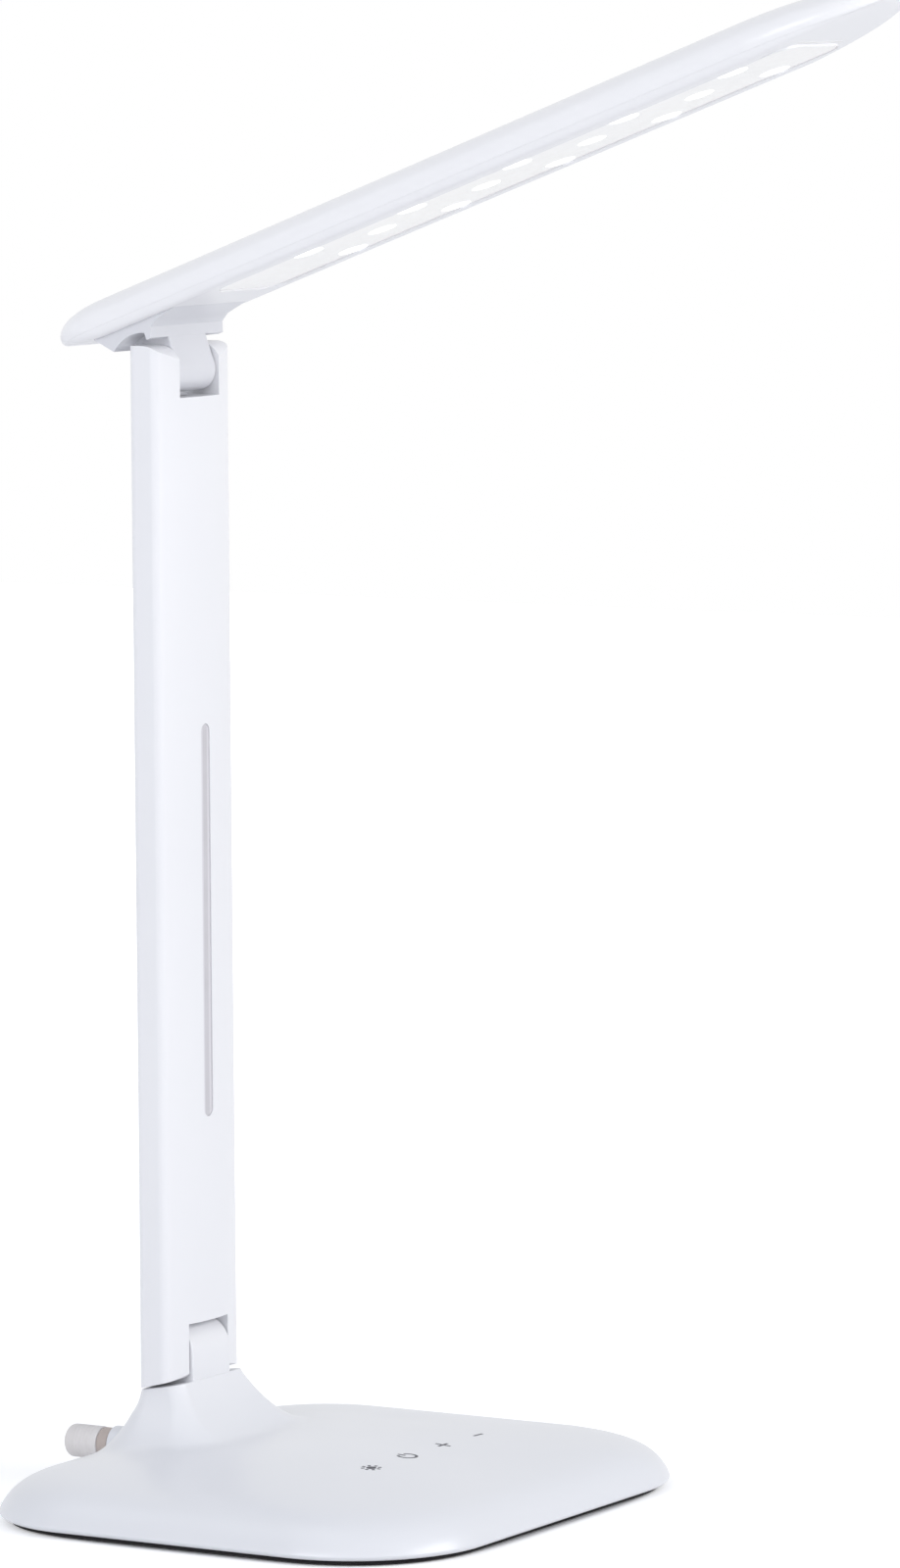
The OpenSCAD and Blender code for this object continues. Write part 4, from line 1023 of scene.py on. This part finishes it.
# Knuckle and its tongue: the same white plastic painted darker, as painted shade under the head.
white_knuckle_painted_shade = gloss_white("knuckle_gloss_white", (0.68, 0.685, 0.72), (0.71, 0.71, 0.74))


def dress(piece, material, body, slot_name, *nodes):
    """Gives a piece its finish, its body and the solids that it stands for."""
    piece.data.materials.clear()
    piece.data.materials.append(material)
    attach(piece, body)
    if nodes:
        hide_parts(*nodes)


# ---------------------------------------------------------------- screws that show from below and behind
def set_screws(name, node, body, screw, points, lean=(0.0, 0.0, 0.0), seed=3):
    values = {"Screw": screw, "Lean": lean, "Seed": seed, "Finish": finishes[node]}
    piece = grow(name, screw_rows, values, points)
    bpy.data.objects.remove(screw)
    dress(piece, finishes[node], body, "screw_steel", node)


set_screws("base_screw_set", "base_screws", "base", make_screw(3.4, 2.2, 1.6, 10.6),
           [(x, y, SCREW_Z) for x in (-SCREW_X, SCREW_X) for y in (-SCREW_Y, SCREW_Y)])
set_screws("arm_screw_set", "arm_screws", "arm", make_screw(2.8, 1.8, 1.5, 14.4),
           [(x, 66.2, HINGE_Z + z) for x, z in ARM_SCREWS], (math.pi / 2, 0.0, 0.0), 5)

# ---------------------------------------------------------------- base pieces
dress(shade(make_base_top(), 38), white_base_painted_shade, "base", "shell_white", "base_shell")


def round_fitting(name, profile):
    """Hollow fitting round the cord's way, from (y, radius) pairs."""
    parts = Parts()
    parts.hoop(lathe_y(profile, 0, ENTRY_Z))
    return shade(parts.piece(name), 50)


ring = [(85.2, 2.3), (85.2, 4.6), (88.0, 4.6), (88.0, 4.9), (88.25, 5.2), (88.6, 5.3)]
ring += [(91.4, 5.3), (91.75, 5.2), (91.9, 4.9), (91.9, 2.3)]
taupe = satin("ring_satin_taupe", (0.50, 0.43, 0.40), (0.42, 0.36, 0.33), 0.4)
dress(round_fitting("entry_ring", ring), taupe, "base", "ring_dark", "gland_ring")

sleeve = [(91.95, 2.2), (91.95, 5.2), (92.2, 5.45), (92.6, 5.5)]
for k in range(6):
    groove = ((-0.22, 5.5), (-0.12, 5.44), (0, 5.40), (0.12, 5.44), (0.22, 5.5))
    sleeve += [(94.2 + k * 1.35 + along, r) for along, r in groove]
sleeve += [(102.9 + 2.2 * math.sin(a), 3.3 + 2.2 * math.cos(a)) for a in np.radians(np.linspace(0, 80, 10))]
sleeve += [(105.1, 3.0), (105.1, 2.45), (104.9, 2.2)]
grey = satin("sleeve_satin_grey", (0.78, 0.755, 0.75), (0.72, 0.69, 0.68), 0.5)
dress(round_fitting("entry_sleeve", sleeve), grey, "base", "gland_taupe", "cord_gland")


def mark_strip(points, width=MARK_LINE, closed=False):
    """Corners and faces of a printed line, from its middle line in the plane of the desk."""
    p = [np.array(q, float) for q in points]
    n, verts = len(p), []
    for i in range(n):
        ahead = p[(i + 1) % n] if closed or i < n - 1 else p[i]
        behind = p[i - 1] if closed or i > 0 else p[i]
        along = (ahead - behind) / np.linalg.norm(ahead - behind)
        across = np.array([-along[1], along[0]]) * width / 2
        verts += [p[i] - across, p[i] + across]
    steps = range(n if closed else n - 1)
    return verts, [(2 * i, 2 * ((i + 1) % n), 2 * ((i + 1) % n) + 1, 2 * i + 1) for i in steps]


def finely(a, b, steps=10):
    return [(a[0] + (b[0] - a[0]) * k / steps, a[1] + (b[1] - a[1]) * k / steps) for k in range(steps + 1)]


def make_touch_marks():
    """Four printed marks: mode, power, brighter and dimmer."""
    mode, power, plus, minus = (k * KEY_PITCH for k in (-1.5, -0.5, 0.5, 1.5))
    y = -KEY_ROW
    flat = [mark_strip(arc(mode, y, 0.85, 0, 350, 36), 1.6, True)]
    for turn in np.radians(np.arange(0, 360, 45)):
        spots = [(mode + r * math.cos(turn), y + r * math.sin(turn)) for r in (2.2, 3.4)]
        flat.append(mark_strip(finely(*spots, 4)))
    flat.append(mark_strip(arc(power, y, 3.0, 125, 415, 40)))
    flat.append(mark_strip(finely((power, y + 0.7), (power, y + 3.6))))
    for x in (plus, minus):
        flat.append(mark_strip(finely((x - 2.8, y), (x + 2.8, y))))
    for side in (-1, 1):
        flat.append(mark_strip(finely((plus, y + side * 0.43), (plus, y + side * 2.8))))
    parts = Parts()
    for verts, faces in flat:
        p = np.asarray(verts)
        n, z = len(p), dome_at(p[:, 0], p[:, 1])
        shell = faces + [tuple(i + n for i in reversed(f)) for f in faces]
        sides = [(f[i], f[(i + 1) % 4]) for f in faces for i in range(4)]
        shell += [(b, a, a + n, b + n) for a, b in sides if (b, a) not in sides]
        parts.add([(*a, h + lift) for lift in (0.03, -0.05) for a, h in zip(p, z)], shell)
    return parts.piece("touch_marks", False)


dress(make_touch_marks(), marking_ink("mark_ink_slate"), "base", "board_black")

# ---------------------------------------------------------------- arm pieces
arm_front, arm_rear = make_arm_shells()
dress(arm_front, white_arm, "arm", "shell_white", "arm_front_shell")
dress(arm_rear, white_arm, "arm", "shell_white", "arm_rear_shell")
strip_grey = satin("strip_satin_grey", (0.59, 0.575, 0.605), (0.55, 0.535, 0.56), 0.36)
dress(make_arm_strip(), strip_grey, "arm", "inlay_grey", "arm_inlay")

# ---------------------------------------------------------------- head pieces
dress(shade(make_head_crown(), 40), white_head_painted_light, "head", "shell_white", "head_shell")
dress(shade(make_head_rim(), 40), white_head_painted_light, "head", "shell_white", "head_rim")
dress(shade(make_light_panel(), 40), frosted_panel("panel_frosted"), "head", "panel_diffuser", "light_panel")
dress(make_knuckle(), white_knuckle_painted_shade, "head", "shell_white", "head_knuckle")
glow = glowing_lens("cool_lens", (1.0, 1.0, 1.0), (0.95, 0.97, 1.0), 1.0)
dress(make_lenses("cool_lenses", glow, LED_PAIRS, 2, LED_FIRST, COOL_LENS_R), glow, "head", "light_cool")
glow = glowing_lens("warm_lens", (1.0, 0.99, 0.93), (1.0, 0.97, 0.84), 0.95)
warm = make_lenses("warm_lenses", glow, LED_PAIRS - 1, 1, LED_FIRST + LED_PITCH / 2, WARM_LENS_R)
dress(warm, glow, "head", "light_warm")


# ---------------------------------------------------------------- stage
def painted_shade_under_base(g, place):
    """Mask for a painted shade: 0 on the patch of floor under the base, where the floor loses its white lift
    and reads dark, 1 outside it.
    """
    x, y = (g.sum("POWER", g.sum("DIVIDE", g.sum("ABSOLUTE", g.split(place)[axis]), half * MM), 4.0)
            for axis, half in (("X", BASE_W / 2), ("Y", BASE_D / 2)))
    return g.spread(g.sum("ADD", x, y), 0.0, 1.0, 0.88, 1.0)


def seen_rays(g):
    """The camera's rays, and all rays that show a surface straight or by a mirror."""
    rays = g.add("ShaderNodeLightPath").outputs
    both = g.sum("MAXIMUM", rays["Is Camera Ray"], rays["Is Glossy Ray"])
    return rays["Is Camera Ray"], g.sum("MAXIMUM", both, rays["Is Transmission Ray"])


def make_floor():
    """Pale desk: a lit surface near the lamp that runs out into plain white for the camera."""
    size, n, row = 3200.0, 64, 65
    spots = [(k / n - 0.5) * 2 * size for k in range(row)]
    faces = [(a, a + 1, a + row + 1, a + row) for j in range(n) for a in range(j * row, j * row + n)]
    floor = piece_from("floor", [(x, y, -0.02) for y in spots for x in spots], faces)
    f = Finish("floor_pale", 0.75, Base_Color=(0.88, 0.88, 0.885), Specular_IOR_Level=0.2,
               Emission_Color=(1.0, 1.0, 1.0))
    away = f.add("ShaderNodeVectorMath", {0: f.place}, operation="LENGTH").outputs["Value"]
    camera, seen = seen_rays(f)
    near = f.sum("MULTIPLY", seen, 0.36)
    far = f.sum("MULTIPLY", camera, f.spread(away, 0.0, 0.64, 0.28, 0.9))
    # Painted shade: the lift is taken off the floor under the base.
    f.set(Emission_Strength=f.sum("MULTIPLY", f.sum("ADD", near, far), painted_shade_under_base(f, f.place)))
    floor.data.materials.append(f.material)


def make_world():
    """Soft even light that shows as plain white in the picture and in mirrored surfaces."""
    world = bpy.data.worlds.new("studio")
    bpy.context.scene.world = world
    world.use_nodes = True
    world.node_tree.nodes.clear()
    g = Graph(world.node_tree)
    soft = g.add("ShaderNodeBackground", {"Color": (0.90, 0.93, 1.0), "Strength": 0.57})
    white = g.add("ShaderNodeBackground", {"Color": (1.0, 1.0, 1.0), "Strength": 1.0})
    g.add("ShaderNodeOutputWorld", {0: g.add("ShaderNodeMixShader", {0: seen_rays(g)[1], 1: soft, 2: white})})


def soft_light(name, place, target, size, power, colour=(1, 1, 1)):
    light = bpy.data.lights.new(name, "AREA")
    light.shape, light.size, light.size_y = "RECTANGLE", size[0], size[1]
    light.energy, light.color = power, colour
    lamp = new_object(name, light)
    lamp.location = place
    lamp.rotation_euler = (Vector(target) - Vector(place)).to_track_quat("-Z", "Y").to_euler()


def make_camera():
    az, el, roll = math.radians(30.814), math.radians(5.79), math.radians(-0.375)
    back = Vector((-math.cos(az) * math.cos(el), -math.sin(az) * math.cos(el), math.sin(el)))
    side = Vector((math.sin(az), -math.cos(az), 0.0))
    up = back.cross(side)
    right = side * math.cos(roll) + up * math.sin(roll)
    high = -side * math.sin(roll) + up * math.cos(roll)
    data = bpy.data.cameras.new("camera")
    data.sensor_width, data.sensor_fit, data.lens = 36.0, "AUTO", 191.45
    data.clip_start, data.clip_end = 0.1, 20
    camera = new_object("camera", data)
    turn = Matrix((right, high, back)).transposed().to_4x4()
    camera.matrix_world = Matrix.Translation(Vector((-2.28114, -1.40355, 0.50614))) @ turn
    bpy.context.scene.camera = camera


make_floor()
make_world()
soft_light("front_light", (0.3, -2.5, 1.2), (0, 0, 0.22), (1.8, 1.2), 34, (1.0, 0.995, 0.985))
soft_light("side_light", (-2.5, 0.1, 0.9), (0, 0, 0.25), (1.5, 1.0), 21, (0.97, 0.98, 1.0))
soft_light("head_light", (-0.35, 0.35, 1.05), (0, -0.05, 0.38), (0.8, 0.8), 0.95)
make_camera()
bpy.context.scene.view_settings.view_transform = "Standard"
